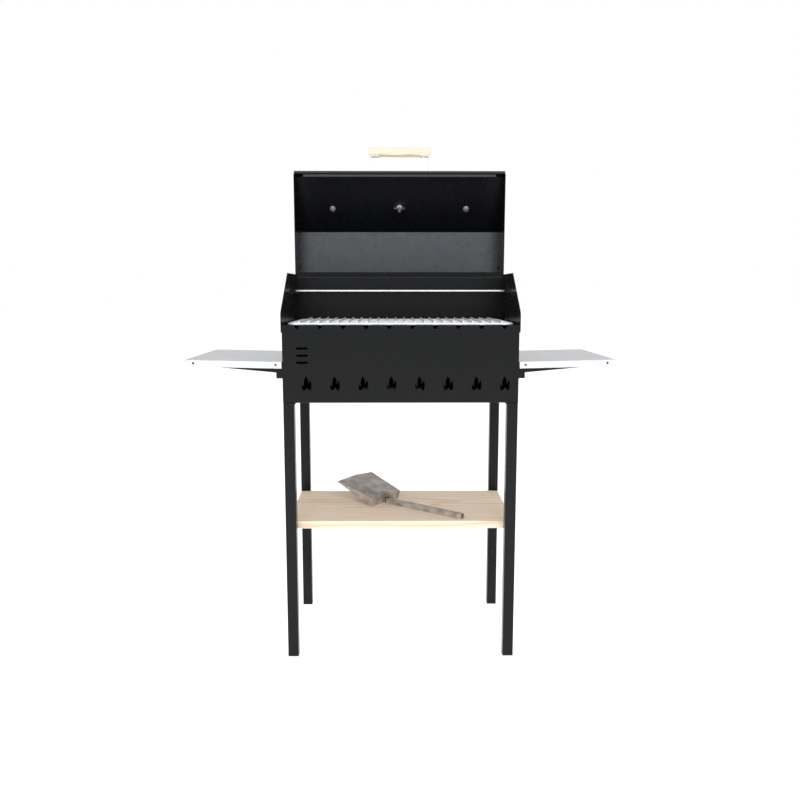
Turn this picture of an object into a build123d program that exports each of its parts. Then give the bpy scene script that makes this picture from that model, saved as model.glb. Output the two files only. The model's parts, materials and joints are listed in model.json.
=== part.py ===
from build123d import *
import os
from math import atan2, cos, hypot, radians, sin

os.makedirs("parts", exist_ok=True)

# Charcoal grill on legs, millimetres. X runs to the right, Y to the back, Z up from the ground.
# In the working values below, y counts from the front face of the front legs.

# ------------------------------------------------------------------ driving sizes
body_width = 600.0          # firebox, outside
body_depth = 378.0          # firebox, outside
floor_height = 683.0        # ground to the underside of the firebox
firebox_height = 187.0      # underside to rim
firebox_sheet = 2.0
fit_gap = 0.3               # hood over firebox, and other loose fits

leg_size = 28.0
leg_wall = 1.5
leg_corner = 2.5
foot_thickness = 3.0
foot_plug = 12.0
spigot_gap = 0.2
spigot_length = 40.0
spigot_wall = 2.0
leg_bolt_radius = 3.0
leg_bolt_drop = 20.0        # bolt below the firebox floor
leg_bolt_hex = 5.0          # half the width across the head's flats
leg_bolt_end = 6.0          # bolt past the spigot

hood_sheet = 2.0
hood_overlap = 8.0          # hood skirt below the firebox rim
strip_above_rim = 11.0
step_above_rim = 41.0       # top of the hood's upright front edge
hood_above_rim = 144.0
slant_depth = 141.0         # where the side walls' slant ends
rear_ledge = 46.0           # hood back wall ahead of the firebox back
rear_ledge_rise = 12.0
flare_height = 15.0
flare_lean = 8.0
flare_drop = 8.0            # start of the flare below the side walls' top
sheet_bend = 3.0
notch_count = 10
notch_pitch = 58.3
notch_width = 16.0
notch_floor = 5.0
notch_depth = 10.0

hinge_above_rim = 71.5
hinge_setback = 16.0        # pin axis behind the hood's back wall
lid_sheet = 1.5
cheek_sheet = 1.7
cheek_gap = 2.0             # between a cheek and the hood's side wall
lid_overhang = 5.7          # lid lip ahead of the hood's front strip
lid_top_gap = 27.5          # closed lid above the hood's side walls
lid_lip_gap = 5.5           # closed lip above the front strip
lid_lip_height = 28.0
lid_flange = 7.0
stiffener_width = 7.0
stiffener_sheet = 2.0
stiffener_rise = 3.0        # above the lip's lower edge, clear of its bend
stiffener_end_gap = 26.0    # cut back from the cheeks
lid_fold_lead = 14.0        # lid's top fold ahead of the end of the slant
lid_bend = 2.5
lid_open_angle = 98.0
lid_rear_start = 7.0        # rear wall's edge clear of the pin

hinge_x = 220.0
pin_radius = 3.0
pin_running_gap = 0.05
knuckle_radius = 5.5
knuckle_half = 9.7
ear_radius = 6.2
ear_sheet = 3.0
stop_x = 120.0

vent_count = 8
vent_pitch = 72.1
vent_row_x = 13.0
vent_bottom = 31.5          # above the firebox's underside

table_length = 246.0
table_depth_margin = 6.0    # table shorter than the firebox is deep
table_top_z = 788.0
table_tilt = 1.3
table_gap = 2.0
table_skirt = 17.0
table_sheet = 1.2

shelf_top_z = 364.0
shelf_thickness = 20.0
shelf_leg_gap = 5.0         # board short of the rear legs
rail_width = 20.0
rail_sheet = 2.0
shelf_side_gap = 2.0        # board short of the rails' outer faces
shelf_screw_inset = 40.0
shelf_edge_radius = 1.5

damper_x = 200.0
damper_down = 81.0          # from the lid's fold, down the slope
damper_radius = 45.0
damper_sheet = 1.5
damper_vent_radius = 9.0
damper_vent_circle = 27.0
damper_bolt_radius = 4.0
damper_bolt_end = 10.0
damper_bolt_head = 8.5
damper_bolt_head_height = 4.5
damper_tab_width = 12.0
damper_tab_height = 12.0
damper_tab_inset = 2.5
damper_washer_radius = 9.0
damper_washer_sheet = 1.6
damper_nut_hex = 6.5
damper_nut_height = 6.0

gauge_down = 90.0
gauge_radius = 31.0
gauge_depth = 12.0
gauge_wall = 1.3
stem_radius = 4.5
spindle_radius = 0.8

grip_length = 178.0
grip_thickness = 22.5
grip_depth = 27.0
handle_reach = 53.0
handle_half = 86.0
handle_width = 16.0
handle_sheet = 2.0
handle_drop = 3.0           # handle below the middle of the lip
handle_tab = 26.0
handle_bolt_inset = 16.0
handle_bolt_radius = 2.5
handle_bolt_head = 4.5
handle_bolt_hex = 4.0
handle_nut_height = 4.0
handle_bolt_end = 5.0
handle_screw_radius = 1.8
handle_screw_head = 4.0
handle_screw_head_height = 2.4
grip_corner = 6.0

grate_side_gap = 12.3       # grate to the hood's side walls
grate_front = 10.0
grate_rod = 6.0
grate_bar = 4.5
grate_pitch = 24.5
ledge_width = 22.0
ledge_lip = 10.0
ledge_front = 8.0
ledge_back_gap = 1.0        # ledges short of the hood's back wall
ledge_above_rim = 10.0

rack_side_gap = 7.3
rack_depth = 112.0
rack_rod = 5.0
rack_wire = 3.0
rack_pitch = 25.0
rack_ledge_above_rim = 94.2
rack_ledge_width = 14.0
rack_ledge_lip = 11.0
rack_back_gap = 8.0

coal_grate_above_floor = 77.0
coal_grate_sheet = 3.0
coal_ledge = 15.0

scoop_rear = (-38.6, 209.2)     # middle of the pan's rear edge, x and y
scoop_turn = 141.0              # direction of the mouth from +X
scoop_tilt = 16.0
scoop_length = 125.0
scoop_rear_width = 120.0
scoop_mouth_width = 150.0
scoop_wall = 25.0
scoop_ridge = 5.6
scoop_sheet = 1.5
scoop_tube = 14.0
scoop_handle_length = 262.0

# ------------------------------------------------------------------ derived places
rim_z = floor_height + firebox_height
floor_top = floor_height + firebox_sheet
half_width = body_width / 2
box_inside = half_width - firebox_sheet
hood_inside = half_width + fit_gap
hood_half = hood_inside + hood_sheet
strip_back = -fit_gap
strip_face = strip_back - hood_sheet
hood_skirt_z = rim_z - hood_overlap
strip_top = rim_z + strip_above_rim
hood_top = rim_z + hood_above_rim
hood_back = body_depth - rear_ledge           # outer face of the hood's back wall
hinge_y = hood_back + hinge_setback
hinge_z = rim_z + hinge_above_rim
lid_inside = hood_half + cheek_gap
lid_half = lid_inside + cheek_sheet
grate_width = 2 * (hood_inside - grate_side_gap)
grate_depth = hood_back - hood_sheet - grate_front
rack_width = 2 * (hood_inside - rack_side_gap)
table_depth = body_depth - table_depth_margin
shelf_depth = body_depth - 2 * leg_size - shelf_leg_gap
leg_x = half_width - leg_size / 2
leg_rows = (leg_size / 2, body_depth - leg_size / 2)

# Closed lid, measured from the pin axis: u towards the back, v up.
lip_u = strip_face - lid_overhang - hinge_y
lip_bottom_v = strip_top + lid_lip_gap - hinge_z
lip_top_v = lip_bottom_v + lid_lip_height
lid_top_v = hood_top + lid_top_gap - hinge_z
fold_u = slant_depth - lid_fold_lead - hinge_y
slope_run = fold_u - lip_u
slope_drop = lid_top_v - lip_top_v
slope_length = hypot(slope_run, slope_drop)
slope_down_uv = (-slope_run / slope_length, -slope_drop / slope_length)
slope_out_uv = (slope_down_uv[1], -slope_down_uv[0])

open_cos = cos(radians(lid_open_angle))
open_sin = sin(radians(lid_open_angle))


def opened(u, v):
    """Turn a direction in the lid's own u, v to y, z with the lid open."""
    return (u * open_cos + v * open_sin, -u * open_sin + v * open_cos)


# The open lid's rounded fold is the rearmost point, and the hood's front strip the foremost.
fold_turn = (radians(90) + atan2(slope_out_uv[1], -slope_out_uv[0])) / 2
fold_half_turn = radians(90) - fold_turn
bisector = (sin(-fold_half_turn), cos(fold_half_turn))
fold_centre = (
    fold_u - lid_bend * bisector[0] / cos(fold_half_turn),
    lid_top_v - lid_bend * bisector[1] / cos(fold_half_turn),
)
rear_reach = hinge_y + opened(*fold_centre)[0] + lid_bend
front = -(strip_face + rear_reach) / 2


def level_plane(z):
    """Seen from above: x to the right, y to the back."""
    return Plane(origin=(0, front, z), x_dir=(1, 0, 0), z_dir=(0, 0, 1))


def front_plane(y):
    """Seen from the front: x to the right, z up. Extrudes towards the front."""
    return Plane(origin=(0, front + y, 0), x_dir=(1, 0, 0), z_dir=(0, -1, 0))


def side_plane(x):
    """Seen from the right: y to the right, z up. Extrudes towards +X."""
    return Plane(origin=(x, front, 0), x_dir=(0, 1, 0), z_dir=(1, 0, 0))


def lid_plane(x):
    """The open lid's u, v plane at x."""
    return Plane(
        origin=(x, front + hinge_y, hinge_z),
        x_dir=(0, *opened(1, 0)),
        z_dir=(1, 0, 0),
    )


def lid_level_plane(v):
    """The open lid's x, u plane at height v. Extrudes towards +v."""
    dy, dz = opened(0, 1)
    return Plane(
        origin=(0, front + hinge_y + v * dy, hinge_z + v * dz),
        x_dir=(1, 0, 0),
        z_dir=(0, dy, dz),
    )


def lid_front_plane(u, v):
    """On the open lid, facing the way its closed front faces."""
    du_y, du_z = opened(u, v)
    dy, dz = opened(-1, 0)
    return Plane(
        origin=(0, front + hinge_y + du_y, hinge_z + du_z),
        x_dir=(1, 0, 0),
        z_dir=(0, dy, dz),
    )


def slope_plane(x, down, lift=0.0):
    """On the lid's slanted panel: z out of the lid, y down the closed lid's slope."""
    u = fold_u + slope_down_uv[0] * down + slope_out_uv[0] * lift
    v = lid_top_v + slope_down_uv[1] * down + slope_out_uv[1] * lift
    y, z = opened(u, v)
    dy, dz = opened(*slope_out_uv)
    return Plane(
        origin=(x, front + hinge_y + y, hinge_z + z),
        x_dir=(-1, 0, 0),
        z_dir=(0, dy, dz),
    )


def save(piece, name):
    """Label a finished sub-part and write it under its own name."""
    piece.part.label = name
    export_step(piece.part, f"parts/{name}.step")


# ------------------------------------------------------------------ legs
leg_bore = leg_size - 2 * leg_wall
bolt_z = floor_height - leg_bolt_drop
for row, row_y in zip(("front", "rear"), leg_rows):
    for hand, hand_x in (("left", -leg_x), ("right", leg_x)):
        with BuildPart() as leg:
            with BuildSketch(level_plane(foot_thickness)):
                with Locations((hand_x, row_y)):
                    RectangleRounded(leg_size, leg_size, leg_corner)
                    RectangleRounded(leg_bore, leg_bore, leg_corner - leg_wall, mode=Mode.SUBTRACT)
            extrude(amount=floor_height - foot_thickness)
            with BuildSketch(front_plane(row_y + leg_size / 2)):
                with Locations((hand_x, bolt_z)):
                    Circle(leg_bolt_radius + fit_gap / 2)
            extrude(amount=2 * leg_wall, mode=Mode.SUBTRACT)
        save(leg, f"leg_{row}_{hand}")

leg_places = [(x, y) for y in leg_rows for x in (-leg_x, leg_x)]
plug_size = leg_bore - 2 * spigot_gap
with BuildPart() as leg_feet:
    with BuildSketch(level_plane(0)):
        with Locations(*leg_places):
            RectangleRounded(leg_size, leg_size, leg_corner)
    extrude(amount=foot_thickness)
    with BuildSketch(level_plane(foot_thickness)):
        with Locations(*leg_places):
            RectangleRounded(plug_size, plug_size, leg_corner - leg_wall)
    extrude(amount=foot_plug)
save(leg_feet, "leg_feet")

with BuildPart() as leg_spigots:
    with BuildSketch(level_plane(floor_height - spigot_length)):
        with Locations(*leg_places):
            RectangleRounded(plug_size, plug_size, leg_corner - leg_wall)
            Rectangle(plug_size - 2 * spigot_wall, plug_size - 2 * spigot_wall, mode=Mode.SUBTRACT)
    extrude(amount=spigot_length)
    for row_y in leg_rows:
        with BuildSketch(front_plane(row_y + leg_size / 2)):
            with Locations((-leg_x, bolt_z), (leg_x, bolt_z)):
                Circle(leg_bolt_radius + fit_gap / 2)
        extrude(amount=leg_size / 2, mode=Mode.SUBTRACT)
save(leg_spigots, "leg_spigots")

bolt_head_height = 4.0
with BuildPart() as leg_bolts:
    for row_y in leg_rows:
        with BuildSketch(front_plane(row_y + leg_size / 2)):
            with Locations((-leg_x, bolt_z), (leg_x, bolt_z)):
                Circle(leg_bolt_radius)
        extrude(amount=leg_wall + spigot_wall + leg_bolt_end)
        with BuildSketch(front_plane(row_y + leg_size / 2)):
            with Locations((-leg_x, bolt_z), (leg_x, bolt_z)):
                RegularPolygon(radius=leg_bolt_hex, side_count=6, major_radius=False)
        extrude(amount=-bolt_head_height)
save(leg_bolts, "leg_bolts")

# ------------------------------------------------------------------ shelf
shelf_front = leg_size
shelf_bottom = shelf_top_z - shelf_thickness
rail_length = body_depth - 2 * leg_size
shelf_screw_x = half_width - rail_width / 2 - rail_sheet / 2
shelf_screw_ys = (shelf_front + shelf_screw_inset, shelf_front + shelf_depth - shelf_screw_inset)
shelf_screw_places = [(x, y) for x in (-shelf_screw_x, shelf_screw_x) for y in shelf_screw_ys]
shelf_screw_radius = 2.0
shelf_screw_length = 16.0
shelf_screw_head = 4.4
shelf_screw_head_height = 2.4

with BuildPart() as shelf_rails:
    with BuildSketch(front_plane(leg_size)):
        with BuildLine():
            Polyline(
                (half_width, shelf_bottom),
                (half_width - rail_width, shelf_bottom),
                (half_width - rail_width, shelf_bottom - rail_sheet),
                (half_width - rail_sheet, shelf_bottom - rail_sheet),
                (half_width - rail_sheet, shelf_bottom - rail_width),
                (half_width, shelf_bottom - rail_width),
                close=True,
            )
        make_face()
    extrude(amount=-rail_length)
    mirror(about=Plane.YZ)
    with BuildSketch(level_plane(shelf_bottom)):
        with Locations(*shelf_screw_places):
            Circle(shelf_screw_radius + fit_gap)
    extrude(amount=-rail_sheet, mode=Mode.SUBTRACT)
save(shelf_rails, "shelf_rails")

with BuildPart() as shelf_board:
    with BuildSketch(level_plane(shelf_bottom)):
        with Locations((0, shelf_front + shelf_depth / 2)):
            Rectangle(body_width - 2 * shelf_side_gap, shelf_depth)
    extrude(amount=shelf_thickness)
    fillet(shelf_board.edges().group_by(Axis.Z)[-1], radius=shelf_edge_radius)
    with BuildSketch(level_plane(shelf_bottom)):
        with Locations(*shelf_screw_places):
            Circle(shelf_screw_radius + fit_gap)
    extrude(amount=shelf_screw_length + 1, mode=Mode.SUBTRACT)
save(shelf_board, "shelf_board")

with BuildPart() as shelf_screws:
    with BuildSketch(level_plane(shelf_bottom - rail_sheet)):
        with Locations(*shelf_screw_places):
            Circle(shelf_screw_head)
    extrude(amount=-shelf_screw_head_height)
    fillet(shelf_screws.edges().group_by(Axis.Z)[0], radius=shelf_screw_head_height / 2)
    with BuildSketch(level_plane(shelf_bottom - rail_sheet)):
        with Locations(*shelf_screw_places):
            Circle(shelf_screw_radius)
    extrude(amount=shelf_screw_length)
save(shelf_screws, "shelf_screws")

# ------------------------------------------------------------------ firebox
# A flame with three tongues: corners of the outline and the bulge of the side that follows each.
flame_outline = (
    ((-9.0, 0.0), 2.0),
    ((-11.5, 17.0), -0.8),
    ((-6.5, 11.0), 2.2),
    ((-2.0, 37.0), 3.0),
    ((4.0, 17.0), -0.8),
    ((9.5, 28.0), 2.5),
    ((10.0, 0.0), 1.5),
    ((0.5, 8.0), 1.5),
)
vent_xs = [vent_row_x + (i - (vent_count - 1) / 2) * vent_pitch for i in range(vent_count)]
emblem_x = -half_width + 50
emblem_z = floor_height + 121
emblem_pitch = 18.0
emblem_length = 30.0
emblem_height = 6.0

with BuildSketch() as flame:
    with BuildLine():
        for i, (start, bulge) in enumerate(flame_outline):
            SagittaArc(start, flame_outline[(i + 1) % len(flame_outline)][0], bulge)
    make_face()

with BuildPart() as firebox_shell:
    with BuildSketch(side_plane(0)):
        with BuildLine():
            FilletPolyline(
                (0, rim_z),
                (0, floor_height),
                (body_depth, floor_height),
                (body_depth, rim_z),
                radius=sheet_bend,
            )
            offset(amount=firebox_sheet, side=Side.LEFT)
        make_face()
    extrude(amount=half_width, both=True)
    with BuildSketch(front_plane(-1)):
        with Locations(*[(vent_x, floor_height + vent_bottom) for vent_x in vent_xs]):
            add(flame.sketch)
    extrude(amount=-body_depth - 2, mode=Mode.SUBTRACT)
    with BuildSketch(front_plane(-1)):
        with Locations(*[(emblem_x, emblem_z + lift) for lift in (-emblem_pitch, 0, emblem_pitch)]):
            SlotOverall(emblem_length, emblem_height)
    extrude(amount=-2 * firebox_sheet, mode=Mode.SUBTRACT)
save(firebox_shell, "firebox_shell")

hood_rivet_inset = 40.0
hood_rivet_z = (hood_skirt_z + rim_z) / 2
hood_rivet_places = ((hood_rivet_inset, hood_rivet_z), (body_depth - hood_rivet_inset, hood_rivet_z))
hood_rivet_radius = 2.5
hood_rivet_head = 4.0
hood_rivet_height = 1.4
for hand, end_x in (("left", -half_width), ("right", box_inside)):
    with BuildPart() as firebox_end:
        with BuildSketch(side_plane(end_x)):
            with BuildLine():
                FilletPolyline(
                    (firebox_sheet, rim_z),
                    (firebox_sheet, floor_top),
                    (body_depth - firebox_sheet, floor_top),
                    (body_depth - firebox_sheet, rim_z),
                    radius=sheet_bend - firebox_sheet,
                )
                Line((body_depth - firebox_sheet, rim_z), (firebox_sheet, rim_z))
            make_face()
        extrude(amount=firebox_sheet)
        with BuildSketch(side_plane(end_x)):
            with Locations(*hood_rivet_places):
                Circle(hood_rivet_radius + fit_gap / 2)
        extrude(amount=firebox_sheet, mode=Mode.SUBTRACT)
    save(firebox_end, f"firebox_end_{hand}")

# Corner fillets where the legs' inner sides meet the firebox.
gusset = 8.0
with BuildPart() as leg_gussets:
    for row_y in leg_rows:
        with BuildSketch(front_plane(row_y)):
            with BuildLine():
                Polyline(
                    (half_width - leg_size - gusset, floor_height),
                    (half_width - leg_size, floor_height),
                    (half_width - leg_size, floor_height - gusset),
                )
                ThreePointArc(
                    (half_width - leg_size, floor_height - gusset),
                    (
                        half_width - leg_size - gusset * (1 - cos(radians(45))),
                        floor_height - gusset * (1 - sin(radians(45))),
                    ),
                    (half_width - leg_size - gusset, floor_height),
                )
            make_face()
        extrude(amount=leg_size / 2 - leg_corner, both=True)
    mirror(about=Plane.YZ)
save(leg_gussets, "leg_gussets")

# ------------------------------------------------------------------ coal grate
coal_z = floor_top + coal_grate_above_floor - coal_grate_sheet - firebox_sheet
coal_ledge_inset = 30.0      # ledge ends short of the front and back
coal_grate_gap = 3.0
coal_grate_corner = 6.0
coal_slot_width = 8.0
coal_slot_pitch = 34.0
coal_slot_bridge = 25.0      # metal left between the two rows of slots
coal_slot_edge = 31.5        # least metal left at the plate's edges
coal_width = 2 * (box_inside - coal_grate_gap)
coal_depth = body_depth - 2 * firebox_sheet - 2 * coal_grate_gap
coal_slot_length = (coal_depth - coal_slot_bridge) / 2 - coal_slot_edge
coal_slot_row_pitch = coal_slot_length + coal_slot_bridge
coal_slot_count = 1 + int((coal_width - 2 * coal_slot_edge - coal_slot_width) / coal_slot_pitch)
with BuildPart() as coal_grate_supports:
    with BuildSketch(front_plane(coal_ledge_inset)):
        with BuildLine():
            Polyline(
                (box_inside, coal_z),
                (box_inside - coal_ledge, coal_z),
                (box_inside - coal_ledge, coal_z - firebox_sheet),
                (box_inside - firebox_sheet, coal_z - firebox_sheet),
                (box_inside - firebox_sheet, coal_z - coal_ledge),
                (box_inside, coal_z - coal_ledge),
                close=True,
            )
        make_face()
    extrude(amount=-(body_depth - 2 * coal_ledge_inset))
    mirror(about=Plane.YZ)
save(coal_grate_supports, "coal_grate_supports")

with BuildPart() as coal_grate:
    with BuildSketch(level_plane(coal_z)):
        with Locations((0, body_depth / 2)):
            RectangleRounded(coal_width, coal_depth, coal_grate_corner)
            with GridLocations(coal_slot_pitch, coal_slot_row_pitch, coal_slot_count, 2):
                SlotOverall(coal_slot_length, coal_slot_width, rotation=90, mode=Mode.SUBTRACT)
    extrude(amount=coal_grate_sheet)
save(coal_grate, "coal_grate")

# ------------------------------------------------------------------ hood
hood_rear_face = body_depth + fit_gap
ledge_z = rim_z + rear_ledge_rise
with BuildPart() as hood_back_wall:
    with BuildSketch(side_plane(0)):
        with BuildLine():
            FilletPolyline(
                (hood_back - hood_sheet + flare_lean, hood_top - flare_drop + flare_height),
                (hood_back - hood_sheet, hood_top - flare_drop),
                (hood_back - hood_sheet, ledge_z),
                (hood_rear_face, ledge_z),
                (hood_rear_face, hood_skirt_z),
                radius=sheet_bend,
            )
            offset(amount=hood_sheet, side=Side.LEFT)
        make_face()
    extrude(amount=hood_inside, both=True)
save(hood_back_wall, "hood_back_wall")

for hand, side_x in (("left", -hood_half), ("right", hood_inside)):
    with BuildPart() as hood_side:
        with BuildSketch(side_plane(side_x)):
            with BuildLine():
                Polyline(
                    (strip_face, hood_skirt_z),
                    (hood_rear_face + hood_sheet, hood_skirt_z),
                    (hood_rear_face + hood_sheet, ledge_z + hood_sheet),
                    (hood_back, ledge_z + hood_sheet),
                    (hood_back, hood_top),
                    (slant_depth, hood_top),
                    (strip_face, rim_z + step_above_rim),
                    close=True,
                )
            make_face()
            with Locations(*hood_rivet_places):
                Circle(hood_rivet_radius + fit_gap / 2, mode=Mode.SUBTRACT)
        extrude(amount=hood_sheet)
    save(hood_side, f"hood_side_{hand}")

notch_xs = [(i - (notch_count - 1) / 2) * notch_pitch for i in range(notch_count)]
with BuildPart() as hood_front_strip:
    with BuildSketch(front_plane(strip_back)):
        with Locations((0, (hood_skirt_z + strip_top) / 2)):
            Rectangle(2 * hood_inside, strip_top - hood_skirt_z)
        for notch_x in notch_xs:
            with BuildLine():
                Polyline(
                    (notch_x - notch_width / 2, strip_top),
                    (notch_x - notch_floor / 2, strip_top - notch_depth),
                    (notch_x + notch_floor / 2, strip_top - notch_depth),
                    (notch_x + notch_width / 2, strip_top),
                    close=True,
                )
            make_face(mode=Mode.SUBTRACT)
    extrude(amount=hood_sheet)
save(hood_front_strip, "hood_front_strip")

with BuildPart() as hood_rivets:
    with BuildSketch(side_plane(box_inside)):
        with Locations(*hood_rivet_places):
            Circle(hood_rivet_radius)
    extrude(amount=hood_half - box_inside)
    with BuildSketch(side_plane(hood_half)):
        with Locations(*hood_rivet_places):
            Circle(hood_rivet_head)
    extrude(amount=hood_rivet_height)
    with BuildSketch(side_plane(box_inside)):
        with Locations(*hood_rivet_places):
            Circle(hood_rivet_head)
    extrude(amount=-hood_rivet_height)
    mirror(about=Plane.YZ)
save(hood_rivets, "hood_rivets")

ledge_top = rim_z + ledge_above_rim
with BuildPart() as grate_ledges:
    with BuildSketch(front_plane(ledge_front)):
        with BuildLine():
            Polyline(
                (hood_inside, ledge_top - hood_sheet),
                (hood_inside, ledge_top + ledge_lip),
                (hood_inside - hood_sheet, ledge_top + ledge_lip),
                (hood_inside - hood_sheet, ledge_top),
                (hood_inside - ledge_width, ledge_top),
                (hood_inside - ledge_width, ledge_top - hood_sheet),
                close=True,
            )
        make_face()
    extrude(amount=-(hood_back - hood_sheet - ledge_front - ledge_back_gap))
    mirror(about=Plane.YZ)
save(grate_ledges, "grate_ledges")

rack_ledge_top = rim_z + rack_ledge_above_rim
rack_ledge_front = 85.0
with BuildPart() as rack_ledges:
    with BuildSketch(front_plane(rack_ledge_front)):
        with BuildLine():
            Polyline(
                (hood_inside, rack_ledge_top),
                (hood_inside - rack_ledge_width, rack_ledge_top),
                (hood_inside - rack_ledge_width, rack_ledge_top - hood_sheet),
                (hood_inside - hood_sheet, rack_ledge_top - hood_sheet),
                (hood_inside - hood_sheet, rack_ledge_top - rack_ledge_lip),
                (hood_inside, rack_ledge_top - rack_ledge_lip),
                close=True,
            )
        make_face()
    extrude(amount=-(hood_back - hood_sheet - rack_ledge_front - ledge_back_gap))
    mirror(about=Plane.YZ)
save(rack_ledges, "rack_ledges")

# ------------------------------------------------------------------ hinges and stops
bracket_plate = 2.5
bracket_height = 35.0
bracket_drop = 8.5          # middle of the plate below the pin
bracket_margin = 6.0        # plate past the ears
ear_foot_drop = 20.0
ear_inner = knuckle_half + fit_gap
with BuildPart() as hinge_brackets:
    for centre in (-hinge_x, hinge_x):
        with BuildSketch(side_plane(centre)):
            with Locations((hood_back + bracket_plate / 2, hinge_z - bracket_drop)):
                Rectangle(bracket_plate, bracket_height)
        extrude(amount=ear_inner + ear_sheet + bracket_margin, both=True)
        for ear_x in (centre - ear_inner - ear_sheet, centre + ear_inner):
            with BuildSketch(side_plane(ear_x)):
                with BuildLine():
                    Polyline(
                        (hood_back, hinge_z - ear_foot_drop),
                        (hinge_y, hinge_z - ear_radius),
                        (hinge_y, hinge_z + ear_radius),
                        (hood_back, hinge_z + ear_radius),
                        close=True,
                    )
                make_face()
                with Locations((hinge_y, hinge_z)):
                    Circle(ear_radius)
                    Circle(pin_radius + pin_running_gap / 2, mode=Mode.SUBTRACT)
            extrude(amount=ear_sheet)
save(hinge_brackets, "hinge_brackets")

pin_head = 2.0
pin_head_rim = 1.5
pin_half = ear_inner + ear_sheet
with BuildPart() as hinge_pins:
    for centre in (-hinge_x, hinge_x):
        with BuildSketch(side_plane(centre)):
            with Locations((hinge_y, hinge_z)):
                Circle(pin_radius)
        extrude(amount=pin_half, both=True)
        for head_x in (centre - pin_half - pin_head, centre + pin_half):
            with BuildSketch(side_plane(head_x)):
                with Locations((hinge_y, hinge_z)):
                    Circle(pin_radius + pin_head_rim)
            extrude(amount=pin_head)
save(hinge_pins, "hinge_pins")

stop_length = 44.0
stop_gap = 0.2
stop_nose = 8.0
stop_foot_drop = 42.0
stop_sheet = 4.0
stop_pad_height = 44.0
stop_pad_sheet = 2.0
stop_pad_half = 14.0
stop_fall = -opened(0, 1)[1] / opened(0, 1)[0]      # fall of the open lid's rear wall per mm of y
with BuildPart() as lid_stops:
    for centre in (-stop_x, stop_x):
        with BuildSketch(side_plane(centre)):
            with BuildLine():
                Polyline(
                    (hood_back, hinge_z + stop_fall * hinge_setback - stop_gap),
                    (hinge_y + stop_length, hinge_z - stop_fall * stop_length - stop_gap),
                    (hinge_y + stop_length, hinge_z - stop_fall * stop_length - stop_gap - stop_nose),
                    (hood_back, hinge_z - stop_foot_drop),
                    close=True,
                )
            make_face()
        extrude(amount=stop_sheet / 2, both=True)
        with BuildSketch(side_plane(centre)):
            with Locations((hood_back + stop_pad_sheet / 2, hinge_z - stop_pad_height / 2)):
                Rectangle(stop_pad_sheet, stop_pad_height)
        extrude(amount=stop_pad_half, both=True)
save(lid_stops, "lid_stops")

# ------------------------------------------------------------------ lid
handle_v = (lip_top_v + lip_bottom_v) / 2 - handle_drop
handle_bolt_x = handle_half - handle_bolt_inset
lid_hole_depth = 4 * lid_sheet
damper_vents = 4
vent_step = 360 / damper_vents

with BuildPart() as lid_shell:
    with BuildSketch(lid_plane(0)):
        with BuildLine():
            FilletPolyline(
                (0, lid_rear_start),
                (0, lid_top_v),
                (fold_u, lid_top_v),
                (lip_u, lip_top_v),
                (lip_u, lip_bottom_v),
                (lip_u - lid_flange, lip_bottom_v),
                radius=lid_bend,
            )
            offset(amount=lid_sheet, side=Side.LEFT)
        make_face()
    extrude(amount=lid_inside, both=True)
    for centre in (-damper_x, damper_x):
        with BuildSketch(slope_plane(centre, damper_down, 1)):
            Circle(damper_bolt_radius + pin_running_gap)
            with PolarLocations(damper_vent_circle, damper_vents, start_angle=vent_step / 2):
                Circle(damper_vent_radius)
        extrude(amount=-lid_hole_depth, mode=Mode.SUBTRACT)
    with BuildSketch(slope_plane(0, gauge_down, 1)):
        Circle(stem_radius + fit_gap)
    extrude(amount=-lid_hole_depth, mode=Mode.SUBTRACT)
    with BuildSketch(lid_front_plane(lip_u - 1, handle_v)):
        with Locations((-handle_bolt_x, 0), (handle_bolt_x, 0)):
            Circle(handle_bolt_radius + fit_gap)
    extrude(amount=-lid_hole_depth, mode=Mode.SUBTRACT)
save(lid_shell, "lid_shell")

# A flat bar welded inside the lip.
with BuildPart() as lid_stiffener:
    with BuildSketch(lid_plane(0)):
        with Locations((lip_u + lid_sheet, lip_bottom_v + stiffener_rise)):
            Rectangle(stiffener_width, stiffener_sheet, align=(Align.MIN, Align.MIN))
    extrude(amount=lid_inside - stiffener_end_gap, both=True)
save(lid_stiffener, "lid_stiffener")

for hand, cheek_x in (("left", -lid_half), ("right", lid_inside)):
    with BuildPart() as lid_cheek:
        with BuildSketch(lid_plane(cheek_x)):
            with BuildLine():
                FilletPolyline(
                    (0, 0),
                    (0, lid_top_v),
                    (fold_u, lid_top_v),
                    (lip_u, lip_top_v),
                    (lip_u, lip_bottom_v),
                    radius=lid_bend,
                    close=True,
                )
            make_face()
        extrude(amount=cheek_sheet)
    save(lid_cheek, f"lid_cheek_{hand}")

leaf_sheet = 2.0
leaf_length = 45.0
with BuildPart() as hinge_leaves:
    for centre in (-hinge_x, hinge_x):
        with BuildSketch(lid_plane(centre)):
            with Locations((leaf_sheet / 2, (4 + leaf_length) / 2)):
                Rectangle(leaf_sheet, leaf_length - 4)
            Circle(knuckle_radius)
            Circle(pin_radius + pin_running_gap, mode=Mode.SUBTRACT)
            with Locations((-knuckle_radius, knuckle_radius / 2 + lid_rear_start - 1)):
                Rectangle(2 * knuckle_radius, knuckle_radius, mode=Mode.SUBTRACT)
        extrude(amount=knuckle_half, both=True)
save(hinge_leaves, "hinge_leaves")

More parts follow.
